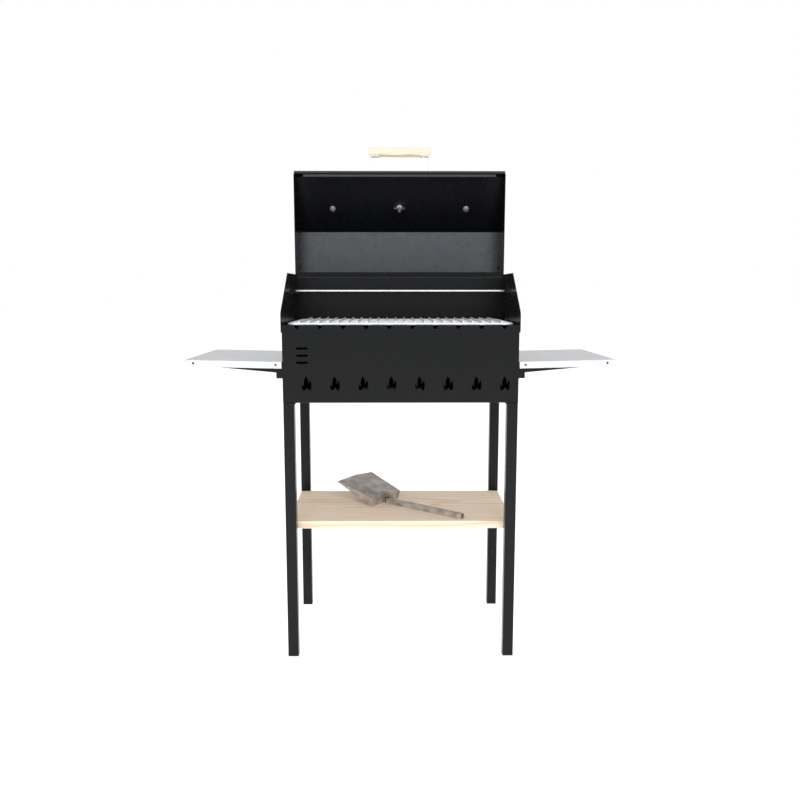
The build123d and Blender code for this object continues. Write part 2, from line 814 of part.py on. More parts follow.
grip_face = lip_u - handle_reach
with BuildPart() as handle_brackets:
    with BuildSketch(lid_level_plane(handle_v)):
        with BuildLine():
            FilletPolyline(
                (handle_half - handle_tab, lip_u),
                (handle_half, lip_u),
                (handle_half, grip_face),
                (handle_half - handle_tab, grip_face),
                radius=sheet_bend,
            )
            offset(amount=handle_sheet, side=Side.RIGHT)
        make_face()
    extrude(amount=handle_width / 2, both=True)
    with BuildSketch(lid_front_plane(lip_u + 1, handle_v)):
        with Locations((handle_bolt_x, 0)):
            Circle(handle_bolt_radius + fit_gap)
    extrude(amount=handle_sheet + 2, mode=Mode.SUBTRACT)
    with BuildSketch(lid_front_plane(grip_face, handle_v)):
        with Locations((handle_bolt_x, 0)):
            Circle(handle_screw_radius + fit_gap)
    extrude(amount=-handle_sheet - 1, mode=Mode.SUBTRACT)
    mirror(about=Plane.YZ)
save(handle_brackets, "handle_brackets")

screw_into_grip = 14.0
with BuildPart() as handle_grip:
    with BuildSketch(lid_front_plane(grip_face, handle_v)):
        RectangleRounded(grip_length, grip_depth, grip_corner)
    extrude(amount=grip_thickness)
    fillet(handle_grip.edges().filter_by(Axis.X), radius=grip_corner)
    with BuildSketch(lid_front_plane(grip_face, handle_v)):
        with Locations((-handle_bolt_x, 0), (handle_bolt_x, 0)):
            Circle(handle_screw_radius + fit_gap)
    extrude(amount=screw_into_grip + 1, mode=Mode.SUBTRACT)
save(handle_grip, "handle_grip")

with BuildPart() as handle_screws:
    with BuildSketch(lid_front_plane(grip_face + handle_sheet, handle_v)):
        with Locations((-handle_bolt_x, 0), (handle_bolt_x, 0)):
            Circle(handle_screw_radius)
    extrude(amount=handle_sheet + screw_into_grip)
    with BuildSketch(lid_front_plane(grip_face + handle_sheet, handle_v)):
        with Locations((-handle_bolt_x, 0), (handle_bolt_x, 0)):
            Circle(handle_screw_head)
    extrude(amount=-handle_screw_head_height)
save(handle_screws, "handle_screws")

with BuildPart() as handle_bolts:
    with BuildSketch(lid_front_plane(lip_u - handle_sheet, handle_v)):
        with Locations((-handle_bolt_x, 0), (handle_bolt_x, 0)):
            Circle(handle_bolt_radius)
    extrude(amount=-(handle_sheet + lid_sheet + handle_bolt_end))
    with BuildSketch(lid_front_plane(lip_u - handle_sheet, handle_v)):
        with Locations((-handle_bolt_x, 0), (handle_bolt_x, 0)):
            Circle(handle_bolt_head)
    extrude(amount=handle_bolt_radius)
    with BuildSketch(lid_front_plane(lip_u + lid_sheet, handle_v)):
        with Locations((-handle_bolt_x, 0), (handle_bolt_x, 0)):
            RegularPolygon(radius=handle_bolt_hex, side_count=6, major_radius=False)
    extrude(amount=-handle_nut_height)
save(handle_bolts, "handle_bolts")

# ------------------------------------------------------------------ dampers
damper_gap = 0.2
bolt_seat = damper_sheet + 2 * damper_gap
for hand, centre in (("left", -damper_x), ("right", damper_x)):
    with BuildPart() as damper_disc:
        with BuildSketch(slope_plane(centre, damper_down, damper_gap)):
            Circle(damper_radius)
            Circle(damper_bolt_radius + pin_running_gap, mode=Mode.SUBTRACT)
            with PolarLocations(damper_vent_circle, damper_vents):
                Circle(damper_vent_radius, mode=Mode.SUBTRACT)
        extrude(amount=damper_sheet)
        with BuildSketch(slope_plane(centre, damper_down, damper_gap + damper_sheet)):
            with Locations((0, -damper_radius + damper_tab_inset)):
                Rectangle(damper_tab_width, damper_sheet)
        extrude(amount=damper_tab_height)
    save(damper_disc, f"damper_disc_{hand}")

with BuildPart() as damper_bolts:
    for centre in (-damper_x, damper_x):
        with BuildSketch(slope_plane(centre, damper_down, bolt_seat)):
            Circle(damper_bolt_radius)
        extrude(amount=-(bolt_seat + lid_sheet + damper_bolt_end))
        with BuildSketch(slope_plane(centre, damper_down, bolt_seat)):
            Circle(damper_bolt_head)
        extrude(amount=damper_bolt_head_height)
    fillet(damper_bolts.edges().filter_by(GeomType.CIRCLE).group_by(Axis.Y)[-1], radius=2.5)
save(damper_bolts, "damper_bolts")

with BuildPart() as damper_washers:
    for centre in (-damper_x, damper_x):
        with BuildSketch(slope_plane(centre, damper_down, -lid_sheet)):
            Circle(damper_washer_radius)
            Circle(damper_bolt_radius + pin_running_gap, mode=Mode.SUBTRACT)
        extrude(amount=-damper_washer_sheet)
save(damper_washers, "damper_washers")

with BuildPart() as damper_nuts:
    for centre in (-damper_x, damper_x):
        with BuildSketch(slope_plane(centre, damper_down, -lid_sheet - damper_washer_sheet)):
            RegularPolygon(radius=damper_nut_hex, side_count=6, major_radius=False)
            Circle(damper_bolt_radius + pin_running_gap, mode=Mode.SUBTRACT)
        extrude(amount=-damper_nut_height)
save(damper_nuts, "damper_nuts")

# ------------------------------------------------------------------ thermometer
dial_lift = 5.0
dial_sheet = 1.0
drum_radius = 12.0
spindle_length = 3.0
needle_lift = dial_lift + 0.6
needle_hub = 3.0
needle_sheet = 1.0
needle_width = 2.4
needle_taper = 88.0         # degrees at the foot of each side
glass_inset = 2.5
glass_sheet = 1.8
stem_length = 30.0
gauge_nut_radius = 8.0
gauge_nut_height = 8.0
wing_span = 34.0
wing_sheet = 3.0
wing_start = 4.0
wing_height = 12.0
with BuildPart() as thermometer_case:
    with BuildSketch(slope_plane(0, gauge_down)):
        Circle(gauge_radius)
    extrude(amount=gauge_depth)
    with BuildSketch(slope_plane(0, gauge_down, gauge_wall)):
        Circle(gauge_radius - gauge_wall)
    extrude(amount=gauge_depth, mode=Mode.SUBTRACT)
    with BuildSketch(slope_plane(0, gauge_down, -1)):
        Circle(stem_radius + pin_running_gap)
    extrude(amount=gauge_wall + 2, mode=Mode.SUBTRACT)
save(thermometer_case, "thermometer_case")

with BuildPart() as thermometer_dial:
    with BuildSketch(slope_plane(0, gauge_down, dial_lift - dial_sheet)):
        Circle(gauge_radius - gauge_wall - pin_running_gap)
    extrude(amount=dial_sheet)
    with BuildSketch(slope_plane(0, gauge_down, gauge_wall)):
        Circle(drum_radius)
    extrude(amount=dial_lift - gauge_wall)
    with BuildSketch(slope_plane(0, gauge_down, dial_lift)):
        Circle(spindle_radius)
    extrude(amount=spindle_length)
save(thermometer_dial, "thermometer_dial")

with BuildPart() as thermometer_glass:
    with BuildSketch(slope_plane(0, gauge_down, gauge_depth - glass_inset)):
        Circle(gauge_radius - gauge_wall - pin_running_gap)
    extrude(amount=glass_sheet)
save(thermometer_glass, "thermometer_glass")

# The pointer rests at the cold end of the dial.
needle_angle = 45.0
needle_reach = 23.0
with BuildPart() as thermometer_needle:
    with BuildSketch(slope_plane(0, gauge_down, needle_lift)):
        Circle(needle_hub)
        with Locations(Location((0, 0), needle_angle)):
            Trapezoid(needle_reach, needle_width, needle_taper, align=(Align.MIN, Align.CENTER))
        Circle(spindle_radius + pin_running_gap, mode=Mode.SUBTRACT)
    extrude(amount=needle_sheet)
save(thermometer_needle, "thermometer_needle")

with BuildPart() as thermometer_stem:
    with BuildSketch(slope_plane(0, gauge_down, gauge_wall)):
        Circle(stem_radius)
    extrude(amount=-(gauge_wall + lid_sheet + stem_length))
save(thermometer_stem, "thermometer_stem")

with BuildPart() as thermometer_nut:
    with BuildSketch(slope_plane(0, gauge_down, -lid_sheet)):
        Circle(gauge_nut_radius)
    extrude(amount=-gauge_nut_height)
    with BuildSketch(slope_plane(0, gauge_down, -lid_sheet - wing_start)):
        Rectangle(wing_span, wing_sheet)
    extrude(amount=-wing_height)
    with BuildSketch(slope_plane(0, gauge_down, -lid_sheet)):
        Circle(stem_radius + pin_running_gap)
    extrude(amount=-(wing_start + wing_height + 1), mode=Mode.SUBTRACT)
save(thermometer_nut, "thermometer_nut")

# ------------------------------------------------------------------ cooking grate
frame_z = ledge_top + grate_rod / 2
bar_z = ledge_top + grate_rod + grate_bar / 2
cross_z = ledge_top + grate_rod - grate_bar / 2
grate_mid = grate_front + grate_depth / 2
bar_count = int(grate_width / grate_pitch) - 1
cross_count = int(grate_depth / grate_pitch) - 1
bar_length = grate_depth - grate_rod
cross_length = grate_width - 2 * grate_rod


def rod_frame(width, depth, middle_y, z, rod):
    """A closed rod frame with rounded corners."""
    with BuildSketch(level_plane(z)) as outline:
        with Locations((0, middle_y)):
            RectangleRounded(width - rod, depth - rod, 3 * rod)
    path = outline.sketch.face().outer_wire()
    with BuildPart() as frame:
        with BuildSketch(Plane(origin=path @ 0, z_dir=path % 0)):
            Circle(rod / 2)
        sweep(path=path)
    return frame


cooking_grate_frame = rod_frame(grate_width, grate_depth, grate_mid, frame_z, grate_rod)
save(cooking_grate_frame, "cooking_grate_frame")

with BuildPart() as cooking_grate_bars:
    with BuildSketch(front_plane(grate_mid)):
        with Locations((0, bar_z)):
            with GridLocations(grate_pitch, 1, bar_count, 1):
                Circle(grate_bar / 2)
    extrude(amount=bar_length / 2, both=True)
save(cooking_grate_bars, "cooking_grate_bars")

with BuildPart() as cooking_grate_cross_wires:
    with BuildSketch(side_plane(0)):
        with Locations((grate_mid, cross_z)):
            with GridLocations(grate_pitch, 1, cross_count, 1):
                Circle(grate_bar / 2)
    extrude(amount=cross_length / 2, both=True)
save(cooking_grate_cross_wires, "cooking_grate_cross_wires")

# ------------------------------------------------------------------ warming rack
rack_back = hood_back - hood_sheet - rack_back_gap
rack_mid = rack_back - rack_depth / 2
rack_z = rack_ledge_top + rack_rod / 2
rack_count = int(rack_width / rack_pitch) - 1
warming_rack_frame = rod_frame(rack_width, rack_depth, rack_mid, rack_z, rack_rod)
save(warming_rack_frame, "warming_rack_frame")

with BuildPart() as warming_rack_wires:
    with BuildSketch(front_plane(rack_mid)):
        with Locations((0, rack_z)):
            with GridLocations(rack_pitch, 1, rack_count, 1):
                Circle(rack_wire / 2)
    extrude(amount=rack_depth / 2 - rack_rod, both=True)
save(warming_rack_wires, "warming_rack_wires")

# ------------------------------------------------------------------ side tables
socket_wall = 3.0
socket_x = 16.0
socket_y = 24.0
socket_height = 24.0
socket_top = table_top_z - table_skirt - 1.0
table_start = half_width + table_gap
table_mid = table_depth / 2
arm_sheet = 3.0
arm_front = table_sheet + fit_gap
arm_flange = 22.0
arm_mid = 14.0              # middle of the socket from the table's front edge
arm_start = table_start + table_sheet + 1.0
arm_end = table_start + 228.0
arm_end_height = 11.0
arm_drop = 9.0
tongue_x = 8.4
tongue_y = socket_y - 2 * socket_wall - 2 * fit_gap
tongue_drop = 20.0
table_rivet_ends = (15.0, 223.0)
table_rivet_down = 8.0
table_rivet_radius = 2.0
table_rivet_head = 3.0
table_rivet_height = 1.4
tilt_cos = cos(radians(table_tilt))
tilt_sin = sin(radians(table_tilt))
socket_places = [
    (x, y)
    for x in (-half_width - socket_x / 2, half_width + socket_x / 2)
    for y in (arm_mid, table_depth - arm_mid)
]
table_rivet_places = [
    (
        table_start + along * tilt_cos + table_rivet_down * tilt_sin,
        table_top_z + along * tilt_sin - table_rivet_down * tilt_cos,
    )
    for along in table_rivet_ends
]


def underside(x):
    """Height just below the tray's lower face at x."""
    return table_top_z + (x - table_start) * tilt_sin / tilt_cos - table_sheet - fit_gap / 2


with BuildPart() as table_sockets:
    with BuildSketch(level_plane(socket_top - socket_height)):
        with Locations(*socket_places):
            Rectangle(socket_x, socket_y)
            Rectangle(socket_x - 2 * socket_wall, socket_y - 2 * socket_wall, mode=Mode.SUBTRACT)
    extrude(amount=socket_height)
save(table_sockets, "table_sockets")

for hand, sign in (("left", -1), ("right", 1)):
    rivet_places = [(sign * x, z) for x, z in table_rivet_places]
    middle_plane = front_plane(table_mid)
    tray_plane = Plane(
        origin=(sign * table_start, front + table_mid, table_top_z),
        x_dir=(sign * tilt_cos, 0, tilt_sin),
        z_dir=(-sign * tilt_sin, 0, tilt_cos),
    )
    with BuildPart() as table_tray:
        with BuildSketch(tray_plane):
            with Locations((table_length / 2, 0)):
                Rectangle(table_length, table_depth)
        extrude(amount=-table_skirt)
        offset(amount=-table_sheet, openings=table_tray.faces().sort_by(Axis.Z)[0])
        with BuildSketch(front_plane(-1)):
            with Locations(*rivet_places):
                Circle(table_rivet_radius + fit_gap / 2)
        extrude(amount=-table_depth - 2, mode=Mode.SUBTRACT)
    save(table_tray, f"table_tray_{hand}")

    with BuildPart() as table_arms:
        with BuildSketch(front_plane(arm_front)):
            with BuildLine():
                Polyline(
                    (sign * arm_start, socket_top),
                    (sign * (half_width + socket_x + fit_gap), socket_top),
                    (sign * (half_width + socket_x + fit_gap), socket_top - arm_drop),
                    (sign * arm_end, underside(arm_end) - arm_end_height),
                    (sign * arm_end, underside(arm_end)),
                    (sign * arm_start, underside(arm_start)),
                    close=True,
                )
            make_face()
            with Locations(*rivet_places):
                Circle(table_rivet_radius + fit_gap / 2, mode=Mode.SUBTRACT)
        extrude(amount=-arm_sheet)
        with BuildSketch(front_plane(arm_front)):
            with BuildLine():
                Polyline(
                    (sign * arm_start, underside(arm_start)),
                    (sign * arm_start, underside(arm_start) - arm_sheet),
                    (sign * arm_end, underside(arm_end) - arm_sheet),
                    (sign * arm_end, underside(arm_end)),
                    close=True,
                )
            make_face()
        extrude(amount=-arm_flange)
        with BuildSketch(level_plane(socket_top - tongue_drop)):
            with Locations((sign * (arm_start + tongue_x / 2), arm_mid)):
                Rectangle(tongue_x, tongue_y)
        extrude(amount=underside(arm_start) - arm_sheet / 2 - socket_top + tongue_drop)
        mirror(about=middle_plane)
    save(table_arms, f"table_arms_{hand}")

    with BuildPart() as table_rivets:
        with BuildSketch(front_plane(0)):
            with Locations(*rivet_places):
                Circle(table_rivet_radius)
        extrude(amount=-(arm_front + arm_sheet))
        with BuildSketch(front_plane(0)):
            with Locations(*rivet_places):
                Circle(table_rivet_head)
        extrude(amount=table_rivet_height)
        with BuildSketch(front_plane(arm_front + arm_sheet)):
            with Locations(*rivet_places):
                Circle(table_rivet_head)
        extrude(amount=-table_rivet_height)
        mirror(about=middle_plane)
    save(table_rivets, f"table_rivets_{hand}")

# ------------------------------------------------------------------ coal scoop, upside down on the shelf
turn_cos = cos(radians(scoop_turn))
turn_sin = sin(radians(scoop_turn))
scoop_cos = cos(radians(scoop_tilt))
scoop_sin = sin(radians(scoop_tilt))
scoop_lift = 0.3            # clear of the shelf
scoop_mouth_wall = 3.0
scoop_tube_wall = 1.5
scoop_x, scoop_y = scoop_rear
scoop_z = shelf_top_z + scoop_lift + scoop_wall * scoop_cos + scoop_sheet * scoop_sin
scoop_axis = (turn_cos * scoop_cos, turn_sin * scoop_cos, scoop_sin)


def scoop_plane(along):
    """Across the pan, along from its rear edge: x to its left, y out of its bottom."""
    return Plane(
        origin=(
            scoop_x + along * scoop_axis[0],
            front + scoop_y + along * scoop_axis[1],
            scoop_z + along * scoop_axis[2],
        ),
        x_dir=(-turn_sin, turn_cos, 0),
        z_dir=scoop_axis,
    )


def pan_outline(width, wall):
    """The pan's folded section: two walls and a bottom with a low ridge."""
    half = width / 2
    outer = ((-half, -wall), (-half, 0), (0, scoop_ridge), (half, 0), (half, -wall))
    inner_half = half - scoop_sheet
    inner = (
        (inner_half, -wall),
        (inner_half, -scoop_sheet),
        (0, scoop_ridge - scoop_sheet),
        (-inner_half, -scoop_sheet),
        (-inner_half, -wall),
    )
    return outer + inner


with BuildPart() as scoop_pan:
    for along, width, wall in (
        (0, scoop_rear_width, scoop_wall),
        (scoop_length, scoop_mouth_width, scoop_mouth_wall),
    ):
        with BuildSketch(scoop_plane(along)):
            with BuildLine():
                Polyline(*pan_outline(width, wall), close=True)
            make_face()
    loft(ruled=True)
    with BuildSketch(scoop_plane(0)):
        with BuildLine():
            Polyline(*pan_outline(scoop_rear_width, scoop_wall)[:5], close=True)
        make_face()
    extrude(amount=-scoop_sheet)
save(scoop_pan, "scoop_pan")

with BuildPart() as scoop_handle:
    with BuildSketch(
        Plane(
            origin=(scoop_x, front + scoop_y, shelf_top_z + scoop_lift + scoop_tube / 2),
            x_dir=(-turn_sin, turn_cos, 0),
            z_dir=(-turn_cos, -turn_sin, 0),
        )
    ):
        Rectangle(scoop_tube, scoop_tube)
        Rectangle(scoop_tube - 2 * scoop_tube_wall, scoop_tube - 2 * scoop_tube_wall, mode=Mode.SUBTRACT)
    extrude(amount=scoop_handle_length)
    extrude(scoop_handle.faces().sort_by(Axis.X)[0], amount=scoop_wall)
    split(bisect_by=scoop_plane(-scoop_sheet), keep=Keep.BOTTOM)
save(scoop_handle, "scoop_handle")
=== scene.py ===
import json
from math import cos, radians, sin, tau

import bmesh
import bpy
from bpy.props import FloatProperty, FloatVectorProperty, IntProperty, PointerProperty
from mathutils import Matrix, Vector


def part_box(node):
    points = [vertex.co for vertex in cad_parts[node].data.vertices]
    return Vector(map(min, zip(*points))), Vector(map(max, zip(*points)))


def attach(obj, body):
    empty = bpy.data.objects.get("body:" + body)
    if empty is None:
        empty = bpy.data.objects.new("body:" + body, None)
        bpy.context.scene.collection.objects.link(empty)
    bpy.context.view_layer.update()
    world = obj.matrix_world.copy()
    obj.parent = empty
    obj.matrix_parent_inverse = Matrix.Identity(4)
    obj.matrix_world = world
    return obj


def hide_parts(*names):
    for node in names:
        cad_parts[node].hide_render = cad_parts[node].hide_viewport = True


bl_info = {
    "name": "Charcoal grill",
    "version": (1, 0, 0),
    "blender": (4, 5, 0),
    "location": "View3D > Sidebar > Grill",
    "description": "Finishes, wires, fasteners, welds and the studio for a charcoal grill",
    "category": "Object",
}

# Metres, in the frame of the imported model: X to the right, Y to the back, Z up from the ground.
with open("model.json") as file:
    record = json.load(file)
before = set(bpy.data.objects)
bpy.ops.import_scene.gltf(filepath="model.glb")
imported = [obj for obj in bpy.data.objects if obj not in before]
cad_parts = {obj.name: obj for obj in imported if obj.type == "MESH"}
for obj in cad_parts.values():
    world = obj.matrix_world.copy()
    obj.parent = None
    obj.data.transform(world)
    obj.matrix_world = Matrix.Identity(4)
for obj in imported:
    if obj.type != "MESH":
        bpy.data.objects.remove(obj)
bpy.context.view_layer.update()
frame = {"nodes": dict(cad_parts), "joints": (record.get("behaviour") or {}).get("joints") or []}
MM = 0.001
LID_JOINT = next(joint for joint in frame["joints"] if joint["name"] == "lid_hinge")
LID_OPEN = radians(LID_JOINT["range_deg"][1])
HINGE = Vector(LID_JOINT["pos_m"])
GAUGE_JOINT = next(joint for joint in frame["joints"] if joint["name"] == "needle_turn")
SLOPE_OUT = -Vector(GAUGE_JOINT["axis"])


def linear(code):
    """Turn an sRGB hex colour to the linear one that shaders take."""
    channels = [int(code[i:i + 2], 16) / 255 for i in (1, 3, 5)]
    return tuple(c / 12.92 if c <= 0.04045 else ((c + 0.055) / 1.055) ** 2.4 for c in channels)


# ------------------------------------------------------------------ what a user would change
def tint(name, code, description):
    """A colour setting with an sRGB hex default."""
    return FloatVectorProperty(name=name, description=description, subtype="COLOR",
                               min=0.0, max=1.0, default=linear(code))


def size(name, millimetres, description):
    """A length setting."""
    return FloatProperty(name=name, description=description, unit="LENGTH", subtype="DISTANCE",
                         min=0.0, default=millimetres * MM)


class GrillFinishes(bpy.types.PropertyGroup):
    paint: tint("Paint", "#0A0B0C", "Heat-proof black of the body and lid")
    pine_early: tint("Pale wood", "#F7E3C9", "Pine between the rings")
    pine_late: tint("Ring wood", "#E9C4A0", "Pine in the rings")
    pine_knot: tint("Knots", "#B98A66", "Knots and resin in the pine")
    zinc: tint("Zinc sheet", "#ECEDEF", "Galvanised side tables")
    chrome: tint("Plated wire", "#FAFAFB", "Grate and rack wire")
    steel: tint("Bare steel", "#C9C2BA", "Scoop sheet where the scale is thin")
    scale: tint("Mill scale", "#9A928A", "Scoop sheet where the scale is thick")
    fastener: tint("Fasteners", "#DAD9D5", "Zinc-plated bolts, nuts and screws")
    floor: tint("Studio floor", "#F4F4F3", "Paper floor and surroundings")


class GrillSizes(bpy.types.PropertyGroup):
    grate_wire: size("Grate wire", 4.5, "Diameter of the cooking grate's wires")
    rack_wire: size("Rack wire", 3.0, "Diameter of the warming rack's wires")
    wire_wander: size("Wire wander", 0.5, "How far a welded wire strays from straight")
    bead: size("Weld bead", 2.4, "Width of a weld bead")
    sheet_edge: size("Sheet edge", 0.35, "Softening of cut and folded sheet edges")
    seed: IntProperty(name="Seed", description="Seed of the random turns and beads", default=7)


def finishes():
    return bpy.context.scene.grill_finishes


def sizes():
    return bpy.context.scene.grill_sizes


# ------------------------------------------------------------------ node helper and materials
def add_node(tree, kind, inputs=None, **settings):
    """Add a node with its settings; an input is a value or a socket to link from."""
    made = tree.nodes.new(kind)
    for name, value in settings.items():
        setattr(made, name, value)
    for key, value in (inputs or {}).items():
        if isinstance(value, bpy.types.NodeSocket):
            tree.links.new(value, made.inputs[key])
        else:
            made.inputs[key].default_value = value
    return made


def rgba(setting):
    return (*setting, 1.0)


def blank(name):
    """A material with no nodes but its object coordinates."""
    material = bpy.data.materials.new(name)
    material.use_nodes = True
    tree = material.node_tree
    tree.nodes.clear()
    return material, tree, add_node(tree, "ShaderNodeTexCoord").outputs["Object"]


def surface(tree, shade, roughness, height, depth, **shader):
    """Close a material: bump from height, depth in metres, and the shader's own values."""
    bump = add_node(tree, "ShaderNodeBump", {"Height": height, "Distance": depth, "Strength": 1.0})
    inputs = {"Base Color": shade, "Roughness": roughness, "Normal": bump.outputs[0]}
    inputs.update({key.replace("_", " "): value for key, value in shader.items()})
    closed = add_node(tree, "ShaderNodeBsdfPrincipled", inputs)
    add_node(tree, "ShaderNodeOutputMaterial", {"Surface": closed.outputs[0]})


def stove_paint():
    """Silicone enamel sprayed on sheet steel: satin black with a fine orange peel."""
    material, tree, place = blank("stove_paint")
    # Orange peel is about 2 mm across, drawn as it is; the sheet's own waves are about 90 mm.
    peel = add_node(tree, "ShaderNodeTexNoise", {"Vector": place, "Scale": 480.0, "Detail": 2.0})
    waves = add_node(tree, "ShaderNodeTexNoise", {"Vector": place, "Scale": 7.0, "Detail": 1.0})
    dust = add_node(tree, "ShaderNodeTexNoise", {"Vector": place, "Scale": 60.0, "Detail": 8.0})
    black = rgba(finishes().paint)
    worn = tuple(1.25 * c for c in black[:3]) + (1.0,)
    shade = add_node(tree, "ShaderNodeMix", {0: dust.outputs["Fac"], 6: black, 7: worn},
                     data_type="RGBA")
    rough = add_node(tree, "ShaderNodeMapRange",
                     {0: dust.outputs["Fac"], 1: 0.3, 2: 0.7, 3: 0.24, 4: 0.28})
    height = add_node(tree, "ShaderNodeMath", {0: waves.outputs["Fac"], 1: 9.0, 2: peel.outputs["Fac"]},
                      operation="MULTIPLY_ADD")
    surface(tree, shade.outputs[2], rough.outputs[0], height.outputs[0], 0.00004,
            Specular_IOR_Level=0.22)
    return material


def pine(name, plank, heart, ring):
    """Planed unvarnished pine: cream wood with pinkish rings along X, dull, a knot here and there.

    plank is the width of the glued strips, heart the depth of the tree's middle below the origin
    and ring the spacing of the rings.
    """
    material, tree, place = blank(name)
    split = add_node(tree, "ShaderNodeSeparateXYZ", {0: place})
    strip = add_node(tree, "ShaderNodeMath", {0: split.outputs[1], 1: plank}, operation="DIVIDE")
    number = add_node(tree, "ShaderNodeMath", {0: strip.outputs[0]}, operation="FLOOR")
    draw = add_node(tree, "ShaderNodeTexWhiteNoise", {"W": number.outputs[0]}, noise_dimensions="1D")
    # Each strip comes from its own place in the tree, half a metre or so away.
    away = add_node(tree, "ShaderNodeVectorMath", {0: draw.outputs["Color"], 1: (0.9, 0.05, 0.0)},
                    operation="MULTIPLY")
    moved = add_node(tree, "ShaderNodeVectorMath", {0: place, 1: away.outputs[0]}, operation="ADD")
    drift = add_node(tree, "ShaderNodeVectorMath", {0: moved.outputs[0], 1: (1.6, 9.0, 9.0)},
                     operation="MULTIPLY")
    bend = add_node(tree, "ShaderNodeTexNoise",
                    {"Vector": drift.outputs[0], "Scale": 1.0, "Detail": 2.0})
    flat = add_node(tree, "ShaderNodeVectorMath", {0: moved.outputs[0], 1: (0.04, 1.0, 1.0)},
                    operation="MULTIPLY")
    radius = add_node(tree, "ShaderNodeVectorMath", {0: flat.outputs[0], 1: (0.0, 0.0, heart)},
                      operation="DISTANCE")
    bent = add_node(tree, "ShaderNodeMath",
                    {0: bend.outputs["Fac"], 1: 0.06, 2: radius.outputs["Value"]},
                    operation="MULTIPLY_ADD")
    turns = add_node(tree, "ShaderNodeMath", {0: bent.outputs[0], 1: tau / ring}, operation="MULTIPLY")
    rings = add_node(tree, "ShaderNodeMath", {0: turns.outputs[0]}, operation="SINE")
    late = add_node(tree, "ShaderNodeMapRange",
                    {0: rings.outputs[0], 1: -0.2, 2: 1.0, 3: 0.0, 4: 0.75})
    stretched = add_node(tree, "ShaderNodeVectorMath", {0: place, 1: (14.0, 900.0, 900.0)},
                         operation="MULTIPLY")
    # Fibres are finer than this; they are drawn about 1 mm wide so that they show.
    fibre = add_node(tree, "ShaderNodeTexNoise",
                     {"Vector": stretched.outputs[0], "Scale": 1.0, "Detail": 4.0})
    knot_place = add_node(tree, "ShaderNodeVectorMath", {0: moved.outputs[0], 1: (5.0, 13.0, 9.0)},
                          operation="MULTIPLY")
    cells = add_node(tree, "ShaderNodeTexVoronoi", {"Vector": knot_place.outputs[0], "Scale": 1.0})
    knot = add_node(tree, "ShaderNodeMapRange",
                    {0: cells.outputs["Distance"], 1: 0.07, 2: 0.17, 3: 0.8, 4: 0.0})
    grain = add_node(tree, "ShaderNodeMix",
                     {0: late.outputs[0], 6: rgba(finishes().pine_early), 7: rgba(finishes().pine_late)},
                     data_type="RGBA")
    knotty = add_node(tree, "ShaderNodeMix",
                      {0: knot.outputs[0], 6: grain.outputs[2], 7: rgba(finishes().pine_knot)},
                      data_type="RGBA")
    lines = add_node(tree, "ShaderNodeMapRange",
                     {0: fibre.outputs["Fac"], 1: 0.3, 2: 0.7, 3: 0.93, 4: 1.03})
    shade = add_node(tree, "ShaderNodeVectorMath", {0: knotty.outputs[2], 3: lines.outputs[0]},
                     operation="SCALE")
    rough = add_node(tree, "ShaderNodeMapRange",
                     {0: late.outputs[0], 1: 0.0, 2: 1.0, 3: 0.62, 4: 0.5})
    surface(tree, shade.outputs[0], rough.outputs[0], fibre.outputs["Fac"], 0.00012,
            Specular_IOR_Level=0.35)
    return material


def metal(name, dark, light, patch, line, stretch, low, high, depth, metallic=1.0):
    """A metal mottled between two colours in patches, with drawn lines, both counted per metre."""
    material, tree, place = blank(name)
    cloud = add_node(tree, "ShaderNodeTexNoise", {"Vector": place, "Scale": patch, "Detail": 6.0})
    even = add_node(tree, "ShaderNodeMapRange",
                    {0: cloud.outputs["Fac"], 1: 0.35, 2: 0.65, 3: 0.0, 4: 1.0})
    along = add_node(tree, "ShaderNodeVectorMath", {0: place, 1: stretch}, operation="MULTIPLY")
    draw = add_node(tree, "ShaderNodeTexNoise",
                    {"Vector": along.outputs[0], "Scale": line, "Detail": 3.0})
    shade = add_node(tree, "ShaderNodeMix", {0: even.outputs[0], 6: dark, 7: light}, data_type="RGBA")
    rough = add_node(tree, "ShaderNodeMapRange",
                     {0: draw.outputs["Fac"], 1: 0.3, 2: 0.7, 3: low, 4: high})
    surface(tree, shade.outputs[2], rough.outputs[0], draw.outputs["Fac"], depth, Metallic=metallic)
    return material


def darker(setting, share):
    return tuple(share * c for c in setting) + (1.0,)


def zinc_sheet():
    """Hot-dip galvanised sheet: bright, faintly clouded by its spangle, brushed along the depth."""
    zinc = finishes().zinc
    return metal("zinc_sheet", darker(zinc, 0.95), rgba(zinc), 26.0, 900.0, (1.0, 0.03, 1.0),
                 0.3, 0.42, 0.00002)


def plated_wire():
    """Nickel-chrome plated steel wire: mirror bright over slight draw lines."""
    chrome = finishes().chrome
    return metal("plated_wire", darker(chrome, 0.9), rgba(chrome), 120.0, 700.0, (1.0, 1.0, 1.0),
                 0.32, 0.42, 0.00002, 0.35)


def hot_rolled_steel():
    """Bare hot-rolled sheet: brown-grey mill scale, patchy and dull."""
    return metal("hot_rolled_steel", rgba(finishes().scale), rgba(finishes().steel), 38.0, 500.0,
                 (1.0, 1.0, 1.0), 0.4, 0.55, 0.00003, 0.75)


def weld_metal():
    """Weld bead on bare steel: darker and browner than the sheet, rippled."""
    return metal("weld_metal", linear("#2E2A28") + (1.0,), linear("#6B5A4C") + (1.0,), 400.0, 900.0,
                 (1.0, 1.0, 1.0), 0.4, 0.65, 0.0001, 0.8)


def zinc_plate():
    """Zinc-plated fasteners: cool, bright, slightly uneven."""
    zinc = finishes().fastener
    return metal("zinc_plate", darker(zinc, 0.75), rgba(zinc), 300.0, 1500.0, (1.0, 1.0, 1.0),
                 0.2, 0.34, 0.00002)


